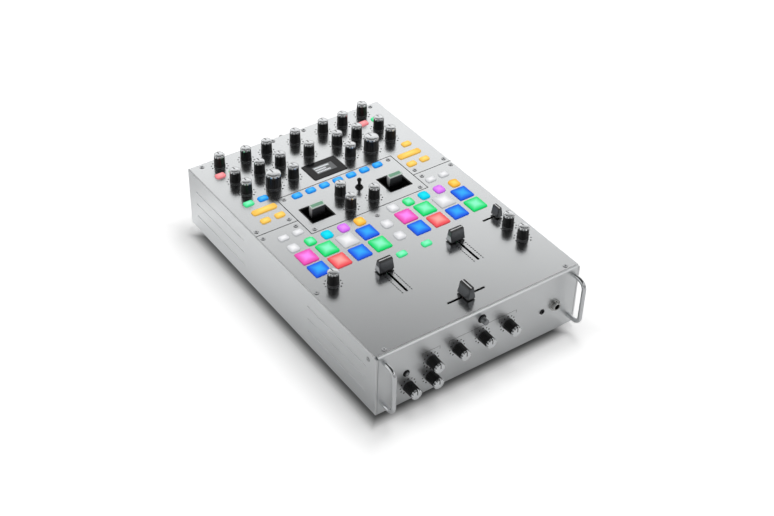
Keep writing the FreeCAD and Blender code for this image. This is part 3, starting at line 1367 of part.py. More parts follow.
def build_faders():
    """Keep the four fader caps and return their tracks and slot cutters."""
    cap = make_cap("FaderCap", [
        ("cap_foot_width", "cap_foot_depth", "cap_gap"),
        ("cap_waist_width", "cap_waist_depth", "cap_waist_z"),
        ("cap_top_width", "cap_top_depth", "cap_top"),
    ])
    mini = make_cap("MiniCap", [
        ("mini_foot_width", "mini_foot_depth", "cap_gap"),
        ("mini_top_width", "mini_top_depth", "mini_top"),
    ])
    for side, sign in SIDES:
        spot = top(f"{sign}fader_x", "fader_y + fader_rest")
        keep(f"{side}_fader", copy(cap, f"{side}_fader", spot))
    keep("crossfader", copy(cap, "crossfader", top("0", "cross_y"), ACROSS))
    keep("cue_fader", copy(mini, "cue_fader", top("mini_x + mini_rest", "mini_y"), ACROSS))
    track = make_track("Track", "slot_length")
    mini_track = make_track("MiniTrack", "mini_slot")
    tracks = copies(track, "ChannelTrack", FADER_SPOTS)
    tracks.append(copy(track, "CrossTrack", top("0", "cross_y"), ACROSS))
    tracks.append(copy(mini_track, "CueTrack", top("mini_x", "mini_y"), ACROSS))
    slot = make_slot("FaderSlot", "slot_length")
    mini_slot = make_slot("MiniSlot", "mini_slot")
    slots = copies(slot, "ChannelSlot", FADER_SPOTS, ACROSS)
    slots.append(copy(slot, "CrossSlot", top("0", "cross_y")))
    slots.append(copy(mini_slot, "CueSlot", top("mini_x", "mini_y")))
    return tracks, slots


def build_paddles():
    """Keep the paddles, their wells and the browse lever; return the lever's collar and the cutters."""
    paddle = make_paddle()
    for side, sign in SIDES:
        keep(f"{side}_paddle", copy(paddle, f"{side}_paddle", top(f"{sign}well_x", "well_y")))
    keep("paddle_wells", group("PaddleWells", copies(make_well(), "Well", WELL_SPOTS)))
    keep("browse_lever", copy(make_lever(), "browse_lever", top("beat_x", "beat_y")))
    collar = copy(make_collar(), "LeverCollar", top("beat_x", "beat_y"))
    well_hole = box("WellOpening", ("well_width", "well_depth", "plate + 2 * overcut"),
                    ("-well_width / 2", "-well_depth / 2", "-plate - overcut"))
    collar_hole = drill("CollarHole", "lever_ball + lever_clearance + collar_wall + seam", "plate")
    cuts = copies(well_hole, "WellHole", WELL_SPOTS)
    cuts.append(copy(collar_hole, "LeverHole", top("beat_x", "beat_y")))
    return collar, cuts


def build_front_buttons():
    button, button_guide, button_hole = make_button("ReverseButton", "button_radius", "button_reach")
    switch, switch_guide, switch_hole = make_button("SourceButton", "switch_radius", "switch_reach")
    keep("front_buttons", group("FrontButtons", [
        copy(button, "ReverseCap", BUTTON_AT, TO_FRONT),
        copy(switch, "SourceCap", SWITCH_AT, TO_FRONT),
    ]))
    guides = [
        copy(button_guide, "ReverseGuide", BUTTON_AT, TO_FRONT),
        copy(switch_guide, "SourceGuide", SWITCH_AT, TO_FRONT),
    ]
    cuts = [
        copy(button_hole, "ButtonHole", BUTTON_AT, TO_FRONT),
        copy(switch_hole, "SwitchHole", SWITCH_AT, TO_FRONT),
    ]
    return guides, cuts


def build_boards():
    """Control board under the plates, front board, main board and the spacers that carry them."""
    control = box("ControlBoard", ("board_width", "board_back - board_front", "board"),
                  ("-board_width / 2", "front_y + board_front", "top_z - board_drop - board"))
    front_width = "front_board_left + front_board_right"
    front = box("FrontBoard", (front_width, "board", "front_board_top - front_board_bottom"),
                ("-front_board_left", "front_y + board_drop", "foot_height + front_board_bottom"))
    floor = "foot_height + floor_sheet"
    main = box("MainBoard", ("main_board_width", "main_board_back - main_board_front", "board"),
               ("-main_board_width / 2", "front_y + main_board_front", f"{floor} + main_post_height"))
    post = cylinder("Spacer", "post_radius", "board_drop - plate", ("0", "0", "-board_drop"))
    thread = cylinder("SpacerHole", "screw_radius + screw_clearance", "screw_length",
                      ("0", "0", "-screw_length - edge_break"))
    drilled = cut("DrilledSpacer", post, thread)
    posts = copies(post, "Post", POST_SPOTS)
    posts.append(copy(drilled, "MiddlePost", top(*MIDDLE_SCREW)))
    leg = cylinder("Leg", "post_radius", "main_post_height", ("0", "0", "0"))
    legs = []
    for side, sign in SIDES:
        for row in ("main_board_front + main_post_inset", "main_board_back - main_post_inset"):
            spot = (f"{sign}(main_board_width / 2 - main_post_inset)", f"front_y + {row}", floor)
            legs.append(copy(leg, f"Leg_{len(legs)}", spot))
    keep("circuit_boards", group("Boards", [control, front, main] + posts + legs))


def build_display():
    window = prism("Window", rounded("screen_width", "screen_depth", "screen_corner"),
                   "plate + key_clearance + screen_rise", "-plate - key_clearance")
    wide = "screen_width + 2 * screen_rim"
    deep = "screen_depth + 2 * screen_rim"
    module = box("ScreenModule", (wide, deep, "board_drop - plate - key_clearance"),
                 (f"-({wide}) / 2", f"-({deep}) / 2", "-board_drop"))
    screen = group("Display", [window, module])
    keep("display_screen", copy(screen, "display_screen", top("0", "screen_y")))
    hole = opening("WindowOpening", rounded("screen_width + 2 * seam", "screen_depth + 2 * seam",
                                            "screen_corner + seam"))
    return copy(hole, "DisplayHole", top("0", "screen_y"))


def build_screws():
    """Keep the screws; return the cutter on the top and the cuts in the side walls."""
    screw = make_screw()
    hole = drill("ScrewHole", "screw_radius + screw_clearance", "(plate + sheet)")
    screws = copies(screw, "PanelScrew", REAR_SCREWS + PERFORMANCE_SCREWS + EFFECT_SCREWS)
    wall_cuts = []
    for side, sign in SIDES:
        turn = TO_LEFT if sign else TO_RIGHT
        spot = (f"{sign}body_width / 2", "front_y + wall_screw_y", "foot_height + wall_screw_z")
        screws.append(copy(screw, "WallScrew_" + side, spot, turn))
        wall_cuts.append(copy(hole, "WallScrewHole_" + side, spot, turn))
    keep("panel_screws", group("PanelScrews", screws))
    return hole, wall_cuts


def build_plates(bush_hole, key_holes, screw_hole, display_cut, paddle_cuts, slots):
    rear, performance, effects = make_plates()
    rear_cuts = copies(bush_hole, "RearBushHole", places(REAR_KNOBS))
    rear_cuts += copies(key_holes["small"], "RearKeyHole", CHANNEL_SPOTS + LOOP_SPOTS)
    rear_cuts += copies(key_holes["bar"], "BarHole", BAR_SPOTS)
    rear_cuts += copies(screw_hole, "RearScrewHole", REAR_SCREWS)
    rear_cuts.append(display_cut)
    keep("rear_top_plate", cut("RearTop", rear, group("RearTopCuts", rear_cuts)))
    effect_cuts = copies(bush_hole, "EffectBushHole", places(EFFECT_KNOBS))
    effect_cuts += copies(key_holes["small"], "EffectKeyHole", EFFECT_SPOTS)
    effect_cuts += copies(screw_hole, "EffectScrewHole", EFFECT_SCREWS)
    effect_cuts += paddle_cuts
    keep("effects_plate", cut("EffectsTop", effects, group("EffectsCuts", effect_cuts)))
    low_cuts = copies(bush_hole, "LowBushHole", places(PERFORMANCE_KNOBS))
    low_cuts += copies(key_holes["pad"], "PadHole", PAD_SPOTS["left"] + PAD_SPOTS["right"])
    low_cuts += copies(key_holes["mode"], "ModeHole", MODE_SPOTS)
    low_cuts += copies(key_holes["small"], "LowKeyHole", SHIFT_SPOTS + CUE_SPOTS)
    low_cuts += copies(screw_hole, "LowScrewHole", PERFORMANCE_SCREWS)
    low_cuts += slots
    keep("performance_plate", cut("PerformanceTop", performance, group("PerformanceCuts", low_cuts)))


def build_sockets():
    """Keep the sockets and the power switch; return the cuts in the rear wall."""
    jack = make_jack()
    inlet_at = on_rear("inlet_x", "rear_mid_z")
    rocker_at = on_rear("rocker_x", "rear_mid_z")
    terminal_at = on_rear("-post_x", "post_z")
    round_kinds = [
        (jack, "Booth", BOOTH_SPOTS, "jack_radius"),
        (make_phono(), "PhonoSocket", PHONO_SPOTS, "phono_body"),
        (make_main_output(), "Main", MAIN_SPOTS, "main_body"),
        (make_terminal(), "Earth", [terminal_at], "terminal_stud"),
    ]
    square_kinds = [
        (make_usb(), "Usb", USB_SPOTS, "usb_width", "usb_height"),
        (make_inlet(), "MainsInlet", [inlet_at],
         "inlet_open_width + 2 * inlet_wall", "inlet_open_height + 2 * inlet_wall"),
        (make_rocker_frame(), "PowerFrame", [rocker_at],
         "rocker_width + 2 * rocker_gap + rocker_rim", "rocker_height + 2 * rocker_gap + rocker_rim"),
    ]
    sockets = [
        copy(jack, "PhonesJack", JACK_AT, TO_FRONT),
        copy(make_mini_jack(), "PhonesMiniJack", MINI_JACK_AT, TO_FRONT),
    ]
    cutters = []
    for master, stem, spots, radius in round_kinds:
        cutters.append((master, stem, spots, drill(stem + "Drill", f"{radius} + socket_clearance", "sheet")))
    for master, stem, spots, width, height in square_kinds:
        wide = f"{width} + 2 * socket_clearance"
        tall = f"{height} + 2 * socket_clearance"
        punch = box(stem + "Punch", (wide, tall, "sheet + 2 * overcut"),
                    (f"-({wide}) / 2", f"-({tall}) / 2", "-sheet - overcut"))
        cutters.append((master, stem, spots, punch))
    rear_cuts = []
    for master, stem, spots, cutter in cutters:
        for index, spot in enumerate(spots):
            sockets.append(copy(master, f"{stem}_{index}", spot, TO_REAR))
            rear_cuts.append(copy(cutter, f"{stem}Hole_{index}", spot, TO_REAR))
    keep("sockets", group("Sockets", sockets))
    switched_off = Rotation(Vector(1, 0, 0), value("rocker_tilt") - 90)
    pivot = ("rocker_x", "rear_y - rocker_pivot", "foot_height + rear_mid_z")
    keep("power_rocker", copy(make_rocker(), "power_rocker", pivot, switched_off))
    return rear_cuts


def build_handles_and_feet():
    handle = make_handle()
    handles = [copy(handle, "Handle_" + side, (f"{sign}handle_x", "front_y", "foot_height"))
               for side, sign in SIDES]
    keep("front_handles", group("Handles", handles))
    foot = make_foot()
    feet = []
    for side, sign in SIDES:
        for y in ("foot_inset_end", "body_depth - foot_inset_end"):
            spot = (f"{sign}(body_width / 2 - foot_inset_side)", f"front_y + {y}", "0")
            feet.append(copy(foot, f"Foot_{len(feet)}", spot))
    keep("rubber_feet", group("Feet", feet))


def build_front_panel(bush_hole, button_cuts):
    leg_hole = drill("HandleHole", "handle_radius + fit_gap", "front_panel")
    jack_hole = drill("JackDrill", "jack_radius + socket_clearance", "front_panel")
    mini_hole = drill("MiniDrill", "mini_jack_radius + socket_clearance", "front_panel")
    cuts = [copy(bush_hole, "FrontBushHole_" + node, on_front(x, z), TO_FRONT)
            for node, x, z in FRONT_KNOBS]
    for side, sign in SIDES:
        for leg in ("low", "high"):
            spot = on_front(f"{sign}handle_x", f"handle_{leg}")
            cuts.append(copy(leg_hole, f"LegHole_{side}_{leg}", spot, TO_FRONT))
    cuts.append(copy(jack_hole, "JackHole", JACK_AT, TO_FRONT))
    cuts.append(copy(mini_hole, "MiniJackHole", MINI_JACK_AT, TO_FRONT))
    keep("front_panel", make_front_panel(cuts + button_cuts))


def build():
    fill_sheet()
    pots = build_knobs()
    key_holes = build_keys()
    tracks, slots = build_faders()
    collar, paddle_cuts = build_paddles()
    guides, button_cuts = build_front_buttons()
    keep("control_bodies", group("ControlBodies", pots + tracks + [collar] + guides))
    build_boards()
    display_cut = build_display()
    screw_hole, wall_cuts = build_screws()
    bush_hole = drill("BushHole", "bush_radius + bush_clearance", "front_panel")
    build_plates(bush_hole, key_holes, screw_hole, display_cut, paddle_cuts, slots)
    build_handles_and_feet()
    build_front_panel(bush_hole, button_cuts)
    top_screws = REAR_SCREWS + PERFORMANCE_SCREWS + EFFECT_SCREWS
    flange_screws = [spot for spot in top_screws if spot != MIDDLE_SCREW]
    shelf_cuts = copies(screw_hole, "ShelfHole", flange_screws)
    keep("chassis_tray", make_tray(build_sockets() + shelf_cuts + wall_cuts))


def write():
    """Stop on anything that failed, then write one file for each sub-part."""
    doc.recompute()
    failed = [obj.Name for obj in doc.Objects if {"Invalid", "Error"} & set(obj.State)]
    if failed:
        raise RuntimeError("failed: " + ", ".join(failed))
    os.makedirs("parts", exist_ok=True)
    for node, obj in sorted(parts.items()):
        shape = Part.getShape(obj)
        if shape.isNull() or not shape.isValid() or not shape.Solids:
            raise RuntimeError("bad shape: " + node)
        shape.exportStep(f"parts/{node}.step")
        print(node, len(shape.Solids), "solids", round(shape.Volume), "mm3")


build()
write()
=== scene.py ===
"""Looks of the two-channel mixer: finishes, lit keys, printed scales, studio and camera.

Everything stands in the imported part's frame, in metres: +X right, +Y back, +Z up.
"""
import json
import math
import bpy
import numpy as np
from mathutils import Matrix, Vector


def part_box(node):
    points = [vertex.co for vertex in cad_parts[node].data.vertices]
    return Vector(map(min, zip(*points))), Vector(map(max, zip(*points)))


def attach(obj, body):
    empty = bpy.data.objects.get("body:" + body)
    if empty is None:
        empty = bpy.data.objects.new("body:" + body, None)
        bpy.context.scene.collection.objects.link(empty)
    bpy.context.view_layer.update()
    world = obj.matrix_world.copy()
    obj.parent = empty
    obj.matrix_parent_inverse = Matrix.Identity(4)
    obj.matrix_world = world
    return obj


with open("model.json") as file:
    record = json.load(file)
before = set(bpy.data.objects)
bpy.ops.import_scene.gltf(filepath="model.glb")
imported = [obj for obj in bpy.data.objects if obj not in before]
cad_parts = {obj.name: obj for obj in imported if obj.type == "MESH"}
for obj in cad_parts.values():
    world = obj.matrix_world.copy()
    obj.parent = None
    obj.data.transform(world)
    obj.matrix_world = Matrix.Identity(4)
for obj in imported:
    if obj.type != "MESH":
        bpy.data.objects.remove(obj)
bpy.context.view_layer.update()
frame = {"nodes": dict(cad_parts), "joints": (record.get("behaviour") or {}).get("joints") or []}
nodes = frame["nodes"]

MM = 0.001
WHITE = (1.0, 1.0, 1.0, 1.0)
BLACK = (0.0, 0.0, 0.0, 1.0)
WELD = 1e-7
TOP_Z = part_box("rear_top_plate")[1].z
FRONT_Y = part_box("front_panel")[0].y
BASE_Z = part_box("chassis_tray")[0].z
TRAY_HALF_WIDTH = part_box("chassis_tray")[1].x


# Meshes: that of a node holds several solids, told apart by what is joined

class Solid:
    """One joined piece of a node's mesh: its vertices, its faces and its box."""

    def __init__(self, points, vertices, faces):
        self.vertices = vertices
        self.faces = faces
        self.low = points[vertices].min(axis=0)
        self.high = points[vertices].max(axis=0)
        self.centre = (self.low + self.high) / 2
        self.size = self.high - self.low


def mesh_points(mesh):
    flat = np.zeros(len(mesh.vertices) * 3, np.float32)
    mesh.vertices.foreach_get("co", flat)
    return flat.reshape(-1, 3).astype(float)


def face_corners(mesh):
    """Vertex numbers of every face corner, and the face that each corner belongs to."""
    corners = np.zeros(len(mesh.loops), np.int64)
    mesh.loops.foreach_get("vertex_index", corners)
    totals = np.zeros(len(mesh.polygons), np.int64)
    mesh.polygons.foreach_get("loop_total", totals)
    return corners, np.repeat(np.arange(len(totals)), totals)


def solids_of(obj):
    """Split a node's mesh into its solids by spreading the lowest label over each face."""
    points = mesh_points(obj.data)
    corners, faces = face_corners(obj.data)
    welded = np.unique(np.round(points / WELD).astype(np.int64), axis=0, return_inverse=True)[1].ravel()
    labels = np.arange(welded.max() + 1)
    spots = welded[corners]
    while True:
        lowest = np.full(len(obj.data.polygons), len(labels))
        np.minimum.at(lowest, faces, labels[spots])
        spread = labels.copy()
        np.minimum.at(spread, spots, lowest[faces])
        spread = spread[spread]
        if np.array_equal(spread, labels):
            break
        labels = spread
    vertex_labels = labels[welded]
    face_labels = np.zeros(len(obj.data.polygons), np.int64)
    face_labels[faces] = labels[spots]
    return [Solid(points, np.flatnonzero(vertex_labels == label), np.flatnonzero(face_labels == label))
            for label in np.unique(vertex_labels)]


def face_centres(obj):
    flat = np.zeros(len(obj.data.polygons) * 3, np.float32)
    obj.data.polygons.foreach_get("center", flat)
    return flat.reshape(-1, 3).astype(float)


def paint(obj, materials, picks=None):
    """Give a node its materials; picks holds the number of the material of each face."""
    obj.data.materials.clear()
    for material in materials:
        obj.data.materials.append(material)
    if picks is None:
        picks = np.zeros(len(obj.data.polygons), np.int32)
    obj.data.polygons.foreach_set("material_index", np.asarray(picks, np.int32))


def store(obj, name, rows, kind="FLOAT_VECTOR", field="vector"):
    """Keep one value for each vertex, for the shaders to read."""
    attribute = obj.data.attributes.new(name, kind, "POINT")
    attribute.data.foreach_set(field, np.asarray(rows, np.float32).ravel())


def piece(name, points, faces, material, body="housing"):
    """A mesh that the scene adds, riding on a body."""
    mesh = bpy.data.meshes.new(name)
    mesh.from_pydata([tuple(point) for point in points], [], faces)
    mesh.materials.append(material)
    obj = bpy.data.objects.new(name, mesh)
    bpy.context.scene.collection.objects.link(obj)
    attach(obj, body)
    return obj


# Shader graphs

class Graph:
    """The node tree of a material or a world, with short calls for the nodes used here."""

    def __init__(self, owner, target):
        owner.use_nodes = True
        self.owner = owner
        self.tree = owner.node_tree
        self.surface = self.tree.nodes[target]

    def node(self, kind, **settings):
        made = self.tree.nodes.new("ShaderNode" + kind)
        for key, setting in settings.items():
            setattr(made, key, setting)
        return made

    def feed(self, socket, source):
        """Link a socket to another one, or set its value."""
        if isinstance(source, bpy.types.NodeSocket):
            self.tree.links.new(source, socket)
        elif source is not None:
            socket.default_value = source

    def set(self, **inputs):
        """Feed the surface's inputs; an underscore in a name stands for a space."""
        for key, source in inputs.items():
            self.feed(self.surface.inputs[key.replace("_", " ")], source)

    def math(self, operation, first, second=None):
        made = self.node("Math", operation=operation)
        for socket, source in zip(made.inputs, (first, second)):
            self.feed(socket, source)
        return made.outputs[0]

    def smooth(self, value, start, end):
        """Smooth step from 0 at start to 1 at end."""
        made = self.node("MapRange", interpolation_type="SMOOTHSTEP")
        self.feed(made.inputs["Value"], value)
        made.inputs["From Min"].default_value = start
        made.inputs["From Max"].default_value = end
        return made.outputs["Result"]

    def span(self, value, low, high):
        """Stretch a value from 0..1 to low..high."""
        made = self.node("MapRange")
        self.feed(made.inputs["Value"], value)
        made.inputs["To Min"].default_value = low
        made.inputs["To Max"].default_value = high
        return made.outputs["Result"]

    def ramp(self, value, places, levels):
        """Smooth change from one level to the other between two places."""
        return self.span(self.smooth(value, *places), *levels)

    def mix(self, factor, first, second):
        """Mix of two colours; the node's sockets 6, 7 and 2 are those for colours."""
        made = self.node("Mix", data_type="RGBA")
        self.feed(made.inputs[0], factor)
        self.feed(made.inputs[6], first)
        self.feed(made.inputs[7], second)
        return made.outputs[2]

    def place(self):
        return self.node("TexCoord").outputs["Object"]

    def read(self, name, output="Vector"):
        return self.node("Attribute", attribute_name=name).outputs[output]

    def split(self, vector):
        made = self.node("SeparateXYZ")
        self.feed(made.inputs[0], vector)
        return made.outputs

    def stretch(self, vector, scale):
        made = self.node("VectorMath", operation="MULTIPLY")
        self.feed(made.inputs[0], vector)
        made.inputs[1].default_value = scale
        return made.outputs[0]

    def noise(self, vector, scale, detail=3.0):
        made = self.node("TexNoise")
        self.feed(made.inputs["Vector"], vector)
        made.inputs["Scale"].default_value = scale
        made.inputs["Detail"].default_value = detail
        return made.outputs["Fac"]

    def bump(self, height, depth, edge=None):
        """Bump of a depth in metres, over edges softened by a small radius."""
        made = self.node("Bump")
        made.inputs["Distance"].default_value = depth
        self.feed(made.inputs["Height"], height)
        if edge:
            made_edge = self.node("Bevel", samples=4)
            made_edge.inputs["Radius"].default_value = edge
            self.tree.links.new(made_edge.outputs[0], made.inputs["Normal"])
        self.tree.links.new(made.outputs[0], self.surface.inputs["Normal"])


def finish_graph(name):
    return Graph(bpy.data.materials.new(name), "Principled BSDF")


def rgb(red, green, blue):
    """Linear colour from the values seen on a screen, 0 to 255, by the usual screen curve."""
    return tuple((c / 255 / 12.92) if c <= 10 else ((c / 255 + 0.055) / 1.055) ** 2.4
                 for c in (red, green, blue)) + (1.0,)


def shaded(colour, share):
    return tuple(c * share for c in colour[:3]) + (1.0,)


# Finishes

def metal(name, colour, roughness, grain=0.004 * MM, edge=0.35 * MM, cloud=0.06):
    """Satin or polished metal: fine grain in its gloss, faint clouds in its tone, softened edges."""
    g = finish_graph(name)
    spot = g.place()
    clouds = g.noise(spot, 14.0)
    fine = g.noise(spot, 2600.0, 2.0)
    tone = g.mix(clouds, shaded(colour, 1 - cloud), colour)
    g.set(Base_Color=tone, Metallic=1.0, Roughness=g.span(fine, roughness * 0.88, roughness * 1.12))
    g.bump(fine, grain, edge)
    return g.owner


def plastic(name, colour, roughness, grain=0.01 * MM, edge=0.25 * MM, coat=0.0):
    """Moulded plastic or rubber: fine grain and faint specks of tone."""
    g = finish_graph(name)
    spot = g.place()
    fine = g.noise(spot, 1900.0, 3.0)
    clouds = g.noise(spot, 60.0)
    g.set(Base_Color=g.mix(clouds, shaded(colour, 0.75), colour), Coat_Weight=coat, Coat_Roughness=0.08,
          Roughness=g.span(fine, roughness * 0.85, roughness * 1.15))
    g.bump(fine, grain, edge)
    return g.owner


def knob_grip():
    """Black grip: flecks of lighter grey along its outer ridges, and a paler smooth foot."""
    g = finish_graph("knob_grip")
    x, y, z = g.split(g.read("local"))
    radius = g.math("SQRT", g.math("ADD", g.math("MULTIPLY", x, x), g.math("MULTIPLY", y, y)))
    out = g.math("DIVIDE", radius, g.read("reach", "Fac"))
    crest = g.smooth(out, 0.94, 0.985)
    foot = g.smooth(z, 1.35 * MM, 1.05 * MM)
    flecks = g.noise(g.place(), 1400.0)
    tone = g.mix(g.math("MULTIPLY", crest, g.span(flecks, 0.5, 1.0)), rgb(8, 8, 9), rgb(28, 28, 30))
    g.set(Base_Color=g.mix(foot, tone, rgb(120, 121, 123)), Roughness=g.span(flecks, 0.28, 0.42))
    g.bump(flecks, 0.008 * MM, 0.2 * MM)
    return g.owner


def knob_cap():
    """Bright satin crown of a knob: faint spun tone and a dark pointer on its top."""
    g = finish_graph("knob_cap")
    x, y, _ = g.split(g.read("local"))
    beside = g.smooth(g.math("ABSOLUTE", x), 0.62 * MM, 0.5 * MM)
    pointer = g.math("MULTIPLY", g.smooth(y, 0.2 * MM, 0.5 * MM), beside)
    spun = g.noise(g.read("local"), 900.0)
    tone = g.mix(spun, rgb(222, 224, 226), rgb(238, 240, 241))
    g.set(Base_Color=g.mix(pointer, tone, rgb(22, 22, 24)), Metallic=g.span(pointer, 0.88, 0.2),
          Roughness=g.span(spun, 0.2, 0.26))
    g.bump(spun, 0.002 * MM, 0.15 * MM)
    return g.owner


def lit_key():
    """Lit rubber: each solid's own colours, paler in the middle, deeper along the edge and the sides."""
    g = finish_graph("lit_key")
    x, y, z = g.split(g.read("local"))
    reach = g.math("MAXIMUM", g.math("ABSOLUTE", x), g.math("ABSOLUTE", y))
    grain = g.noise(g.place(), 900.0)
    glow = g.mix(g.smooth(reach, 0.05, 1.0), g.read("core", "Color"), g.read("tint", "Color"))
    side = g.smooth(z, -0.2, 0.75)
    g.set(Base_Color=g.mix(0.9, glow, BLACK), Roughness=0.5, Specular_IOR_Level=0.08,
          Emission_Color=glow,
          Emission_Strength=g.math("MULTIPLY", g.span(side, 0.6, 0.96), g.span(grain, 0.96, 1.04)))
    g.bump(grain, 0.01 * MM)
    return g.owner


def ink(name, colour):
    """Printed ink with a faint uneven cover."""
    g = finish_graph(name)
    cover = g.noise(g.place(), 1500.0)
    g.set(Base_Color=g.mix(cover, shaded(colour, 0.85), colour), Roughness=g.span(cover, 0.5, 0.62))
    return g.owner


def paddle_blade():
    """Gloss blade, black down in the well and lightened to grey at the top as painted light, with a
    painted highlight on its left end.
    """
    g = finish_graph("paddle_blade")
    x, _, z = g.split(g.read("local"))
    # painted light: the blade lightens from black in the well to grey at its top
    high = g.smooth(z, 0.15, 0.9)
    # painted highlight on the upper part of the blade's left end
    end = g.math("MULTIPLY", g.smooth(x, -0.93, -0.985), high)
    grain = g.noise(g.place(), 1500.0)
    face = g.mix(high, rgb(12, 12, 13), rgb(92, 93, 96))
    g.set(Base_Color=g.mix(end, face, rgb(214, 215, 217)), Roughness=g.span(grain, 0.2, 0.28),
          Coat_Weight=0.5)
    return g.owner


def lens():
    """Pale green lit strip of a paddle with whitish edges."""
    g = finish_graph("paddle_lens")
    x, y, _ = g.split(g.read("local"))
    end = g.smooth(g.math("ABSOLUTE", x), 0.8, 1.0)
    side = g.smooth(g.math("ABSOLUTE", y), 0.55, 0.95)
    edge = g.math("MAXIMUM", end, side)
    grain = g.noise(g.place(), 700.0)
    tone = g.mix(edge, rgb(128, 176, 148), rgb(226, 234, 229))
    g.set(Base_Color=tone, Roughness=0.3, Emission_Color=tone,
          Emission_Strength=g.span(grain, 0.12, 0.2), Coat_Weight=0.4)
    return g.owner


def fader_face():
    """Smoked chrome of a fader cap: dark along its upper edge and at its foot, with a painted highlight
    at its two ends.
    """
    g = finish_graph("fader_face")
    x, _, z = g.split(g.read("local"))
    up = g.smooth(z, 0.86, 0.97)
    foot = g.smooth(z, 0.12, 0.0)
    # painted highlight: the cap's two ends are paler
    side = g.smooth(g.math("ABSOLUTE", x), 0.955, 0.985)
    grain = g.noise(g.place(), 1700.0)
    face = g.mix(side, rgb(80, 82, 85), rgb(186, 188, 191))
    dark = g.math("MAXIMUM", up, foot)
    g.set(Base_Color=g.mix(dark, face, rgb(14, 14, 15)), Metallic=g.span(dark, 0.6, 0.0),
          Roughness=g.span(grain, 0.24, 0.32), Coat_Weight=0.2)
    g.bump(grain, 0.002 * MM, 0.3 * MM)
    return g.owner


def screw_head():
    """Zinc head, dark in its socket and in a line round its foot as painted shade."""
    g = finish_graph("screw_head")
    x, y, _ = g.split(g.read("local"))
    radius = g.math("SQRT", g.math("ADD", g.math("MULTIPLY", x, x), g.math("MULTIPLY", y, y)))
    # painted shade in the head's socket
    socket = g.smooth(radius, 1.0 * MM, 0.8 * MM)
    # painted shade in a line where the head meets the panel
    foot = g.smooth(radius, 2.4 * MM, 2.55 * MM)
    dark = g.math("MAXIMUM", socket, foot)
    grain = g.noise(g.place(), 2100.0)
    g.set(Base_Color=g.mix(dark, rgb(214, 216, 218), rgb(30, 31, 33)), Metallic=g.span(dark, 0.25, 0.1),
          Roughness=g.span(grain, 0.22, 0.32))
    g.bump(grain, 0.003 * MM, 0.15 * MM)
    return g.owner


def glass():
    """Display window: near-black glass with a faint haze."""
    g = finish_graph("display_glass")
    haze = g.noise(g.place(), 40.0)
    g.set(Base_Color=g.mix(haze, rgb(8, 8, 10), rgb(20, 21, 24)), Roughness=g.span(haze, 0.09, 0.14),
          Specular_IOR_Level=0.22)
    return g.owner


def glowing(name, colour, strength):
    """Lit part of the display, with a faint grain in its light."""
    g = finish_graph(name)
    grain = g.noise(g.place(), 1200.0)
    g.set(Base_Color=shaded(colour, 0.3), Roughness=0.4, Emission_Color=colour,
          Emission_Strength=g.span(grain, strength * 0.85, strength))
    return g.owner


def board():
    """Green solder mask with a faint weave of tracks."""
    g = finish_graph("circuit_board")
    spot = g.place()
    tracks = g.node("TexBrick")
    g.feed(tracks.inputs["Vector"], g.stretch(spot, (60.0, 60.0, 60.0)))
    tracks.inputs["Color1"].default_value = rgb(16, 66, 40)
    tracks.inputs["Color2"].default_value = rgb(14, 58, 36)
    tracks.inputs["Mortar"].default_value = rgb(40, 96, 62)
    g.set(Base_Color=tracks.outputs["Color"], Roughness=0.35)
    g.bump(g.noise(spot, 900.0), 0.01 * MM)
    return g.owner


SILVER = metal("satin_silver", rgb(228, 230, 231), 0.23, cloud=0.03)
SHEET = metal("satin_sheet", rgb(226, 228, 229), 0.38, cloud=0.03)
# darker, rougher copy of the sheet: painted shade on side bevels and slopes
SHADED_FOLD = metal("shaded_sloping_edge", rgb(212, 214, 215), 0.55, cloud=0.03)
# paler copy of the sheet: painted highlight on the faces of the pressed grooves
GROOVE_HIGHLIGHT = metal("groove_highlight", rgb(240, 241, 242), 0.32, cloud=0.03)
STEEL = metal("polished_steel", rgb(222, 224, 226), 0.12, grain=0.001 * MM)
SCREW = screw_head()
NICKEL = metal("socket_nickel", rgb(186, 186, 184), 0.22)
SHAFT = metal("shaft_steel", rgb(150, 152, 154), 0.3)
GRIP = knob_grip()
CAP = knob_cap()
LIT = lit_key()
FADER = fader_face()
BLADE = paddle_blade()
GLOSS = plastic("gloss_black", rgb(20, 20, 22), 0.2, grain=0.002 * MM, coat=0.5)
MATT = plastic("matt_black", rgb(15, 15, 16), 0.55)
WELL = plastic("well_black", rgb(7, 7, 8), 0.5)
SOCKET_BLACK = plastic("socket_black", rgb(20, 20, 22), 0.45)
RUBBER = plastic("foot_rubber", rgb(22, 22, 22), 0.75, grain=0.03 * MM)
GREY = metal("button_metal", rgb(150, 152, 154), 0.28)
RED_RING = plastic("socket_red", rgb(176, 26, 26), 0.4)
WHITE_RING = plastic("socket_white", rgb(226, 226, 222), 0.4)
# black ink, also the colour of the painted seam shadows
BLACK_INK_AND_SHADOW = ink("black_ink_and_seam_shadow", rgb(18, 19, 20))
WHITE_INK = ink("white_ink", rgb(240, 241, 242))
LENS = lens()
GLASS = glass()
PANE = glowing("display_pane", rgb(118, 120, 122), 0.5)
LEVEL = glowing("display_level", rgb(228, 232, 236), 0.9)
BOARD = board()


# Knobs

FRONT_KNOB_DEPTH = 5 * MM
KNOB_CAP_HEIGHT = 2.6 * MM
SHAFT_RADIUS = 3.2 * MM
CROWN_INSET = 0.4 * MM
CROWN_RIDGES = 12
RIDGE_STEPS = 8
NOTCH_STEPS = 2
RIDGED_RINGS = 3
RIDGE_DEPTH = 0.5 * MM


def knob_frame(obj, front):
    """Axis place of a knob, from its own box, and its vertices seen along its axis."""
    low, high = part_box(obj.name)
    points = mesh_points(obj.data)
    x, y, z = points.T
    if front:
        middle = ((low.x + high.x) / 2, (low.z + high.z) / 2)
        local = np.stack([x - middle[0], z - middle[1], FRONT_Y - y], axis=1)
    else:
        middle = ((low.x + high.x) / 2, (low.y + high.y) / 2)
        local = np.stack([x - middle[0], y - middle[1], z - TOP_Z], axis=1)
    return middle, local


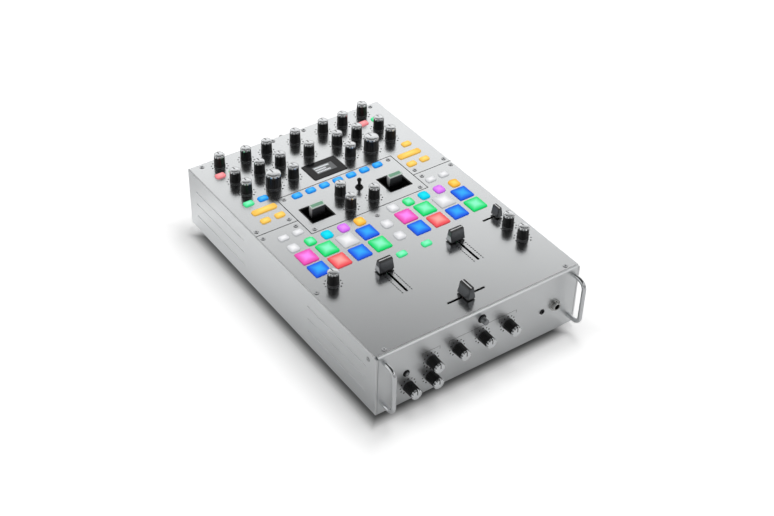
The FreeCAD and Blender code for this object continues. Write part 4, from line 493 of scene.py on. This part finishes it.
def dress_knob(obj, front):
    """Black grip and cap, a steel shaft near the axis, and a bright crown over the cap; the black cap
    shows in the crown's notches as painted shade.
    """
    middle, local = knob_frame(obj, front)
    radius = np.hypot(local[:, 0], local[:, 1]).max()
    store(obj, "local", local)
    store(obj, "reach", np.full(len(local), radius), "FLOAT", "value")
    corners, faces = face_corners(obj.data)
    centres = np.zeros((len(obj.data.polygons), 3))
    np.add.at(centres, faces, local[corners])
    centres /= np.bincount(faces)[:, None]
    cap_foot = local[:, 2].max() - KNOB_CAP_HEIGHT
    near_axis = np.hypot(centres[:, 0], centres[:, 1]) < SHAFT_RADIUS
    # the cap keeps the grip's black: it shows only in the crown's notches, as painted shade
    paint(obj, [GRIP, SHAFT], near_axis & (centres[:, 2] < cap_foot - MM))
    knob_crown(obj.name, middle, front, radius - CROWN_INSET, local[:, 2].max())
    return middle, radius


def knob_crown(knob, middle, front, rim, top):
    """Domed crown over a knob's cap, its rim cut into ridges round its axis.

    The profile runs from the foot up the ridged side and over the dome: radius and height of each ring.
    """
    steps = CROWN_RIDGES * RIDGE_STEPS
    profile = [
        (rim, top - KNOB_CAP_HEIGHT + 0.05 * MM),
        (rim, top - 0.8 * MM),
        (rim - 0.5 * MM, top - 0.1 * MM),
        (rim - 1.1 * MM, top + 0.15 * MM),
        (rim * 0.6, top + 0.3 * MM),
        (rim * 0.25, top + 0.4 * MM),
    ]
    local = []
    for ring, (reach, height) in enumerate(profile):
        for step in range(steps):
            # the notches dip inside the black cap, which shows there as painted shade
            notched = ring < RIDGED_RINGS and step % RIDGE_STEPS < NOTCH_STEPS
            out = reach - RIDGE_DEPTH if notched else reach
            turn = 2 * math.pi * step / steps
            local.append((out * math.cos(turn), out * math.sin(turn), height))
    faces = [tuple(reversed(range(steps)))]
    for ring in range(len(profile) - 1):
        for step in range(steps):
            first = ring * steps + step
            following = ring * steps + (step + 1) % steps
            faces.append((first, following, following + steps, first + steps))
    last = (len(profile) - 1) * steps
    faces.append(tuple(range(last, last + steps)))
    if front:
        points = [(middle[0] + x, FRONT_Y - z, middle[1] + y) for x, y, z in local]
    else:
        points = [(middle[0] + x, middle[1] + y, TOP_Z + z) for x, y, z in local]
    crown = piece(knob.replace("_knob", "_crown"), points, faces, CAP, body=knob)
    store(crown, "local", local)
    domed = np.arange(len(faces)) > RIDGED_RINGS * steps
    crown.data.polygons.foreach_set("use_smooth", domed)


# Lit keys: each colour along the edge and in the middle; rows from the front, each from left to right

PINK = rgb(238, 80, 176), rgb(254, 146, 254)
GREEN = rgb(16, 222, 112), rgb(146, 254, 206)
BLUE = rgb(36, 92, 232), rgb(58, 176, 255)
CORAL = rgb(243, 84, 92), rgb(254, 172, 166)
PALE = rgb(206, 208, 211), rgb(250, 250, 252)
CYAN = rgb(0, 202, 234), rgb(26, 238, 252)
VIOLET = rgb(212, 108, 242), rgb(242, 152, 254)
YELLOW = rgb(248, 180, 58), rgb(253, 224, 110)
ORANGE = rgb(252, 198, 90), rgb(253, 228, 122)
RED = rgb(248, 138, 144), rgb(252, 178, 180)
SKY = rgb(28, 146, 246), rgb(86, 198, 250)
MINT = rgb(70, 236, 150), rgb(148, 254, 206)
PAD_COLOURS = [[BLUE, CORAL, BLUE, GREEN], [PINK, GREEN, PALE, BLUE]]
MODE_COLOURS = [PALE, GREEN, CYAN, VIOLET, YELLOW]
KEY_COLOURS = {
    "left_pads": PAD_COLOURS,
    "right_pads": PAD_COLOURS,
    "mode_keys": [[PALE], [PALE], MODE_COLOURS + MODE_COLOURS, [PALE] * 4],
    "effect_keys": [[SKY] * 7],
    "loop_keys": [[ORANGE] * 4, [ORANGE] * 2],
    "channel_keys": [[MINT, MINT], [MINT, SKY, ORANGE], [RED, MINT, RED, MINT]],
}
ROW_DEPTH = 2 * MM


def rows_of(solids):
    """Solids sorted into rows from the front, and along each row from the left."""
    rows = []
    for solid in sorted(solids, key=lambda one: one.centre[1]):
        if rows and abs(rows[-1][0].centre[1] - solid.centre[1]) < ROW_DEPTH:
            rows[-1].append(solid)
        else:
            rows.append([solid])
    return [sorted(row, key=lambda one: one.centre[0]) for row in rows]


def dress_keys(name, colours):
    """Each solid's own colours, and its vertices as shares of its box."""
    obj = nodes[name]
    points = mesh_points(obj.data)
    local = np.zeros_like(points)
    tint = np.ones((len(points), 4))
    core = np.ones((len(points), 4))
    for row, row_colours in zip(rows_of(solids_of(obj)), colours):
        for solid, colour in zip(row, row_colours):
            own = points[solid.vertices]
            local[solid.vertices, :2] = (own[:, :2] - solid.centre[:2]) / (solid.size[:2] / 2)
            local[solid.vertices, 2] = (own[:, 2] - TOP_Z) / (solid.high[2] - TOP_Z)
            tint[solid.vertices], core[solid.vertices] = colour
    store(obj, "local", local)
    store(obj, "tint", tint, "FLOAT_COLOR", "color")
    store(obj, "core", core, "FLOAT_COLOR", "color")
    paint(obj, [LIT])


# Faders, paddles, sheets, screws and sockets

FADER_TOP_DEPTH = 0.3 * MM
LENS_HEIGHT = 1.2 * MM
LENS_FALL = 1.2 * MM
LENS_SLACK = 0.1 * MM
WELL_DEPTH = 8 * MM
SIDE_DEPTH = 3 * MM
SQUARE_FACING = 0.98
GROOVE_FACING = 0.5
WALL_SCREW_DROP = 5 * MM
LARGE_JACK_WIDTH = 10 * MM
PHONO_WIDTHS = 12.5 * MM, 13.2 * MM
PHONO_SPLIT_Z = BASE_Z + 45 * MM
BLACK_BODY_WIDTH = 15 * MM
METAL_SOCKET, BLACK_SOCKET, RED_PHONO, WHITE_PHONO = range(4)


def own_place(obj, low, high):
    """Vertices of a node as shares of a box: -1 to 1 across and along, 0 to 1 up."""
    points = mesh_points(obj.data)
    low = np.array(low)
    high = np.array(high)
    share = (points - low) / (high - low)
    share[:, :2] = share[:, :2] * 2 - 1
    store(obj, "local", share)


def dress_fader(name):
    """Smoked cap with a white line on its top, and a steel blade."""
    obj = nodes[name]
    cap, blade = sorted(solids_of(obj), key=lambda solid: -solid.size[0] * solid.size[1])
    own_place(obj, cap.low, cap.high)
    picks = np.zeros(len(obj.data.polygons), np.int32)
    picks[face_centres(obj)[:, 2] > cap.high[2] - FADER_TOP_DEPTH] = 1
    picks[blade.faces] = 2
    paint(obj, [FADER, WHITE_INK, SHAFT], picks)


def dress_paddle(name):
    """Blade with a lit strip along its sloping head."""
    obj = nodes[name]
    points = mesh_points(obj.data)
    head = points[points[:, 2] > TOP_Z]
    strip_low = head.min(axis=0)
    strip_high = head.max(axis=0)
    own_place(obj, (strip_low[0], strip_low[1], TOP_Z - WELL_DEPTH), strip_high)
    centres = face_centres(obj)
    fall = LENS_FALL * (strip_high[1] - centres[:, 1]) / (strip_high[1] - strip_low[1])
    paint(obj, [BLADE, LENS], centres[:, 2] > strip_high[2] - LENS_HEIGHT - fall + LENS_SLACK)


def dress_sheet(name, finish):
    """Satin sheet; bevels along its sides are duller and a little darker as painted shade, and the faces
    of the pressed grooves paler as a painted highlight.
    """
    obj = nodes[name]
    flat = np.zeros(len(obj.data.polygons) * 3, np.float32)
    obj.data.polygons.foreach_get("normal", flat)
    facing = np.abs(flat.reshape(-1, 3))
    centres = face_centres(obj)
    beside = np.abs(centres[:, 0]) > TRAY_HALF_WIDTH - SIDE_DEPTH
    slopes = facing.max(axis=1) < SQUARE_FACING
    grooves = (facing[:, 0] < GROOVE_FACING) & (centres[:, 2] < TOP_Z - SIDE_DEPTH)
    picks = np.zeros(len(centres), np.int32)
    # painted shade on the side slopes
    picks[beside & slopes] = 1
    # painted highlight on the groove faces
    picks[beside & grooves] = 2
    paint(obj, [finish, SHADED_FOLD, GROOVE_HIGHLIGHT], picks)


def dress_screws():
    """Screw heads; a screw in a side wall lies on its side, so its axes are turned."""
    obj = nodes["panel_screws"]
    points = mesh_points(obj.data)
    local = np.zeros_like(points)
    for solid in solids_of(obj):
        own = points[solid.vertices] - solid.centre
        sideways = solid.centre[2] < TOP_Z - WALL_SCREW_DROP
        local[solid.vertices] = own[:, [1, 2, 0]] if sideways else own
    store(obj, "local", local)
    paint(obj, [SCREW])


def dress_sockets():
    """Metal sockets, black mains, data and output bodies; lower phono rings red, upper ones white."""
    obj = nodes["sockets"]
    picks = np.zeros(len(obj.data.polygons), np.int32)
    for solid in solids_of(obj):
        width = solid.size[0]
        at_front = solid.centre[1] < 0
        if at_front:
            picks[solid.faces] = METAL_SOCKET if width > LARGE_JACK_WIDTH else BLACK_SOCKET
        elif PHONO_WIDTHS[0] < width < PHONO_WIDTHS[1]:
            upper = solid.centre[2] > PHONO_SPLIT_Z
            picks[solid.faces] = WHITE_PHONO if upper else RED_PHONO
        elif width > BLACK_BODY_WIDTH:
            picks[solid.faces] = BLACK_SOCKET
    paint(obj, [NICKEL, SOCKET_BLACK, RED_RING, WHITE_RING], picks)


# Printed scales and painted seam shadows: thin discs and bars just above a face

INK_LIFT = 0.06 * MM
SCALE_DOTS = 15
SCALE_LENGTH = 46 * MM
SCALE_OFFSET = 5.8 * MM
DOT_RADIUS = 0.85 * MM
RING_OFFSET = 2.6 * MM
MAIN_DOT_SHARE = 1.2
LINE = 0.35 * MM
SEAM = 0.5 * MM
# width of the painted shadow line over each seam
SEAM_SHADOW_WIDTH = 0.9 * MM
BRACKET_SIDE = 4 * MM
BRACKET_RISE = 7 * MM
BRACKET_LEG = 4 * MM
PANE_SIZE = 26 * MM, 14 * MM
LEVEL_COUNTS = 9, 7, 10
LEVEL_PLACES = 12
LEVEL_SIZE = 1.5 * MM, 2.6 * MM
LEVEL_STEP = 2 * MM
LEVEL_ROW = 4 * MM


class Print:
    """Collects flat marks on one face, each a polygon in that face's own two directions."""

    def __init__(self, origin, right, up):
        self.origin = Vector(origin)
        self.right = Vector(right)
        self.up = Vector(up)
        self.points = []
        self.faces = []

    def shape(self, outline):
        first = len(self.points)
        self.points += [self.origin + self.right * x + self.up * y for x, y in outline]
        self.faces.append(tuple(range(first, first + len(outline))))

    def dot(self, x, y, radius, sides=14):
        turns = [2 * math.pi * step / sides for step in range(sides)]
        self.shape([(x + radius * math.cos(t), y + radius * math.sin(t)) for t in turns])

    def bar(self, x, y, width, height):
        left, right = x - width / 2, x + width / 2
        low, high = y - height / 2, y + height / 2
        self.shape([(left, low), (right, low), (right, high), (left, high)])

    def ring_of_dots(self, x, y, radius, dot, count=11, sweep=300.0):
        """Dots along a knob's sweep, larger at both ends and in the middle."""
        for step in range(count):
            turn = math.radians(90 + sweep / 2 - sweep * step / (count - 1))
            size = dot * (MAIN_DOT_SHARE if step in (0, count // 2, count - 1) else 1.0)
            self.dot(x + radius * math.cos(turn), y + radius * math.sin(turn), size)

    def finish(self, name, material, slot="gloss_black"):
        piece(name, self.points, self.faces, material)


def slot_middle(name):
    """Middle of a fader's slot: its place at rest, moved to the middle of its travel."""
    low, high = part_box(name)
    joint = next(joint for joint in frame["joints"] if joint["child"] == name)
    return (low + high) / 2 + Vector(joint["axis"]) * sum(joint["range_m"]) / 2


def print_fader_scales(target):
    """A dotted line on either side of each channel fader's slot."""
    for name in ("left_fader", "right_fader"):
        middle = slot_middle(name)
        for side in (-1, 1):
            for step in range(SCALE_DOTS):
                along = (step / (SCALE_DOTS - 1) - 0.5) * SCALE_LENGTH
                target.dot(middle.x + side * SCALE_OFFSET, middle.y + along, DOT_RADIUS)


def paint_seam_shadows(target):
    """Painted shadow in the open seams: dark lines round the effects plate, and beside it to the side
    walls.
    """
    low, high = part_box("effects_plate")
    rear_low, rear_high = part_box("rear_top_plate")
    middle = (low + high) / 2
    wide = high.x - low.x + SEAM + SEAM_SHADOW_WIDTH
    deep = high.y - low.y + SEAM + SEAM_SHADOW_WIDTH
    for edge in (low.y - SEAM / 2, high.y + SEAM / 2):
        target.bar(middle.x, edge, wide, SEAM_SHADOW_WIDTH)
    for edge in (low.x - SEAM / 2, high.x + SEAM / 2):
        target.bar(edge, middle.y, SEAM_SHADOW_WIDTH, deep)
    for start, end in ((rear_low.x, low.x), (high.x, rear_high.x)):
        target.bar((start + end) / 2, rear_low.y - SEAM / 2, end - start, SEAM_SHADOW_WIDTH)


def print_brackets(target):
    """A thin bracket over each group of front knobs."""
    for names in (("left_contour_knob", "right_contour_knob"), ("mic_high_knob", "mic_high_knob")):
        first, last = (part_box(name) for name in names)
        left = first[0].x - BRACKET_SIDE
        right = last[1].x + BRACKET_SIDE
        height = first[1].z + BRACKET_RISE
        target.bar((left + right) / 2, height, right - left, LINE)
        for end in (left, right):
            target.bar(end, height - BRACKET_LEG / 2, LINE, BRACKET_LEG)


def dress_display():
    """A paler pane inside the glass, with plain level bars on it."""
    low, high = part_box("display_screen")
    middle = (low + high) / 2
    pane = Print((middle.x, middle.y, high.z + INK_LIFT), (1, 0, 0), (0, 1, 0))
    pane.bar(0, 0, *PANE_SIZE)
    pane.finish("display_pane", PANE, slot="screen_black")
    bars = Print((middle.x, middle.y, high.z + 2 * INK_LIFT), (1, 0, 0), (0, 1, 0))
    for row, lit in enumerate(LEVEL_COUNTS):
        for step in range(lit):
            along = (step - (LEVEL_PLACES - 1) / 2) * LEVEL_STEP
            bars.bar(along, (row - 1) * LEVEL_ROW, *LEVEL_SIZE)
    bars.finish("display_levels", LEVEL, slot="screen_black")


def dress_all():
    """Finish every node, and add the printed scales and the painted seam shadows."""
    top_print_and_seam_shadows = Print((0, 0, TOP_Z + INK_LIFT), (1, 0, 0), (0, 1, 0))
    front_print = Print((0, FRONT_Y - INK_LIFT, 0), (1, 0, 0), (0, 0, 1))
    for name, obj in nodes.items():
        if name.endswith("_knob"):
            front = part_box(name)[0].y < FRONT_Y - FRONT_KNOB_DEPTH
            (x, y), radius = dress_knob(obj, front)
            if name != "beat_knob":
                target = front_print if front else top_print_and_seam_shadows
                target.ring_of_dots(x, y, radius + RING_OFFSET, DOT_RADIUS)
    for name, colours in KEY_COLOURS.items():
        dress_keys(name, colours)
    for name in ("left_fader", "right_fader", "crossfader", "cue_fader"):
        dress_fader(name)
    for name in ("left_paddle", "right_paddle"):
        dress_paddle(name)
    dress_sheet("chassis_tray", SHEET)
    dress_sheet("rear_top_plate", SILVER)
    dress_sheet("performance_plate", SILVER)
    dress_sockets()
    dress_screws()
    dress_display()
    plain = {
        "effects_plate": SILVER, "front_panel": SHEET, "front_handles": STEEL, "rubber_feet": RUBBER,
        "circuit_boards": BOARD, "control_bodies": MATT, "paddle_wells": WELL, "display_screen": GLASS,
        "browse_lever": MATT, "front_buttons": GREY, "power_rocker": GLOSS,
    }
    for name, material in plain.items():
        paint(nodes[name], [material])
    print_fader_scales(top_print_and_seam_shadows)
    # painted shadow in the open seams, on the top's print
    paint_seam_shadows(top_print_and_seam_shadows)
    print_brackets(front_print)
    top_print_and_seam_shadows.finish("top_scales_and_seam_shadows", BLACK_INK_AND_SHADOW)
    front_print.finish("front_scales", BLACK_INK_AND_SHADOW)


# Studio

FLOOR_REACH = 6.0
FLOOR_PALE = (0.85, 0.85, 0.85, 1.0)
# grey of the painted shadow on the floor, and where it lies and fades
FLOOR_SHADE = (0.2, 0.2, 0.2, 1.0)
SHADE_INSET = 12 * MM
SHADE_RIM = 16 * MM, -4 * MM
# the camera's lift is lower beside the mixer: painted shadow
BESIDE, BESIDE_LIFT = (-5 * MM, 50 * MM), (0.32, 0.55)
FAR_OFF, FAR_LIFT = (0.3, 1.8), (0.0, 0.5)
ALONG_SIDE, MIRRORED_LIFT = (-0.2, 0.22), (0.05, 0.42)
BEHIND, BEHIND_SHARE = (0.2, 0.28), (1.0, 0.2)
SKY_FOOT, FOOT_LEVEL = (0.34, 0.53), (0.72, 1.3)
SKY_CROWN, CROWN_SHARE = (0.575, 0.695), (1.0, 0.05)
SKY_DEPTH, FRONT_SHARE = (-0.5, 0.3), (0.5, 1.0)
CAMERA_AZIMUTH = -36.182
CAMERA_ELEVATION = 39.266
CAMERA_ROLL = 1.874
CAMERA_LENS = 63.71
CAMERA_SENSOR = 36.0
CAMERA_PLACE = (-0.68915, -0.95807, 0.99051)


def floor():
    """Pale floor, lifted to white for the camera but less so near the mixer, with a painted shadow close
    to the mixer's left and front.

    Metal mirrors it brighter along the sides towards the back, and dimmer again behind the mixer.
    """
    mesh = bpy.data.meshes.new("studio_floor")
    reach = FLOOR_REACH
    corners = [(-reach, -reach, 0), (reach, -reach, 0), (reach, reach, 0), (-reach, reach, 0)]
    mesh.from_pydata(corners, [], [(0, 1, 2, 3)])
    made = bpy.data.objects.new("studio_floor", mesh)
    bpy.context.scene.collection.objects.link(made)
    g = finish_graph("studio_floor")
    x, y, _ = g.split(g.place())
    low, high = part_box("chassis_tray")
    beside = g.math("SUBTRACT", g.math("ABSOLUTE", x), (high.x - low.x) / 2)
    beyond = g.math("SUBTRACT", g.math("ABSOLUTE", y), (high.y - low.y) / 2)
    distance = g.math("MAXIMUM", beside, beyond)
    # lower lift close to the mixer: painted shadow
    away = g.ramp(distance, BESIDE, BESIDE_LIFT)
    far = g.ramp(distance, FAR_OFF, FAR_LIFT)
    leftward = g.math("ABSOLUTE", g.math("ADD", x, SHADE_INSET))
    left_part = g.math("SUBTRACT", leftward, high.x - SHADE_INSET)
    forward = g.math("ABSOLUTE", g.math("SUBTRACT", y, (low.y + high.y) / 2 - SHADE_INSET))
    front_part = g.math("SUBTRACT", forward, (high.y - low.y) / 2 - SHADE_INSET)
    # painted shadow: a dark rim along the mixer's left and front
    near = g.smooth(g.math("MAXIMUM", left_part, front_part), *SHADE_RIM)
    rays = g.node("LightPath")
    seen = rays.outputs["Is Camera Ray"]
    rise = g.ramp(y, ALONG_SIDE, MIRRORED_LIFT)
    band = g.math("MULTIPLY", rise, g.ramp(y, BEHIND, BEHIND_SHARE))
    mirrored = g.math("MULTIPLY", rays.outputs["Is Glossy Ray"], band)
    pale = g.math("ADD", g.math("MULTIPLY", away, g.span(near, 1.0, 0.0)), far)
    lift = g.math("ADD", g.math("MULTIPLY", seen, pale), mirrored)
    # the painted shadow darkens the floor's colour for the camera
    shade = g.math("MULTIPLY", seen, near)
    g.set(Base_Color=g.mix(shade, FLOOR_PALE, FLOOR_SHADE), Roughness=0.7, Specular_IOR_Level=0.1,
          Emission_Color=WHITE, Emission_Strength=lift)
    mesh.materials.append(g.owner)


def sky():
    """A bright band partway up, dimmer below, almost dark overhead, and dimmer in front than behind.

    To the camera it is white all over.
    """
    world = bpy.data.worlds.new("studio_sky")
    bpy.context.scene.world = world
    g = Graph(world, "Background")
    _, y, z = g.split(g.node("TexCoord").outputs["Generated"])
    foot = g.ramp(z, SKY_FOOT, FOOT_LEVEL)
    by_height = g.math("MULTIPLY", foot, g.ramp(z, SKY_CROWN, CROWN_SHARE))
    light = g.math("MULTIPLY", by_height, g.ramp(y, SKY_DEPTH, FRONT_SHARE))
    tone = g.node("CombineColor")
    for socket in tone.inputs:
        g.feed(socket, light)
    seen = g.node("LightPath").outputs["Is Camera Ray"]
    g.set(Color=g.mix(seen, tone.outputs[0], WHITE), Strength=1.0)


def softbox(name, spot, target, size, power, mirrored=True):
    """Square lamp aimed at a target; one that is not mirrored stays out of polished faces."""
    data = bpy.data.lights.new(name, "AREA")
    data.size = size
    data.energy = power
    lamp = bpy.data.objects.new(name, data)
    bpy.context.scene.collection.objects.link(lamp)
    lamp.location = spot
    lamp.rotation_euler = (Vector(target) - Vector(spot)).to_track_quat("-Z", "Y").to_euler()
    lamp.visible_camera = False
    lamp.visible_glossy = mirrored


def studio():
    """Floor, sky and two soft lamps."""
    floor()
    sky()
    softbox("overhead", spot=(0.55, 0.2, 1.8), target=(0, 0, 0), size=0.9, power=13, mirrored=False)
    softbox("front_right", spot=(0.85, -1.3, 1.25), target=(0, 0, 0.08), size=0.8, power=2.0)


def camera():
    """Camera fitted to the photo: its place, its turn about the view and its focal length."""
    azimuth, elevation, roll = (math.radians(a) for a in (CAMERA_AZIMUTH, CAMERA_ELEVATION, CAMERA_ROLL))
    level = math.cos(elevation)
    back = Vector((math.sin(azimuth) * level, -math.cos(azimuth) * level, math.sin(elevation)))
    right = (-back).cross(Vector((0, 0, 1))).normalized()
    up = right.cross(-back)
    turned_right = math.cos(roll) * right + math.sin(roll) * up
    turned_up = -math.sin(roll) * right + math.cos(roll) * up
    data = bpy.data.cameras.new("photo_camera")
    data.lens = CAMERA_LENS
    data.sensor_width = CAMERA_SENSOR
    data.clip_start = 0.05
    view = bpy.data.objects.new("photo_camera", data)
    bpy.context.scene.collection.objects.link(view)
    axes = Matrix((turned_right, turned_up, back)).transposed().to_4x4()
    view.matrix_world = Matrix.Translation(CAMERA_PLACE) @ axes
    bpy.context.scene.camera = view


dress_all()
studio()
camera()
bpy.context.scene.view_settings.view_transform = "Standard"
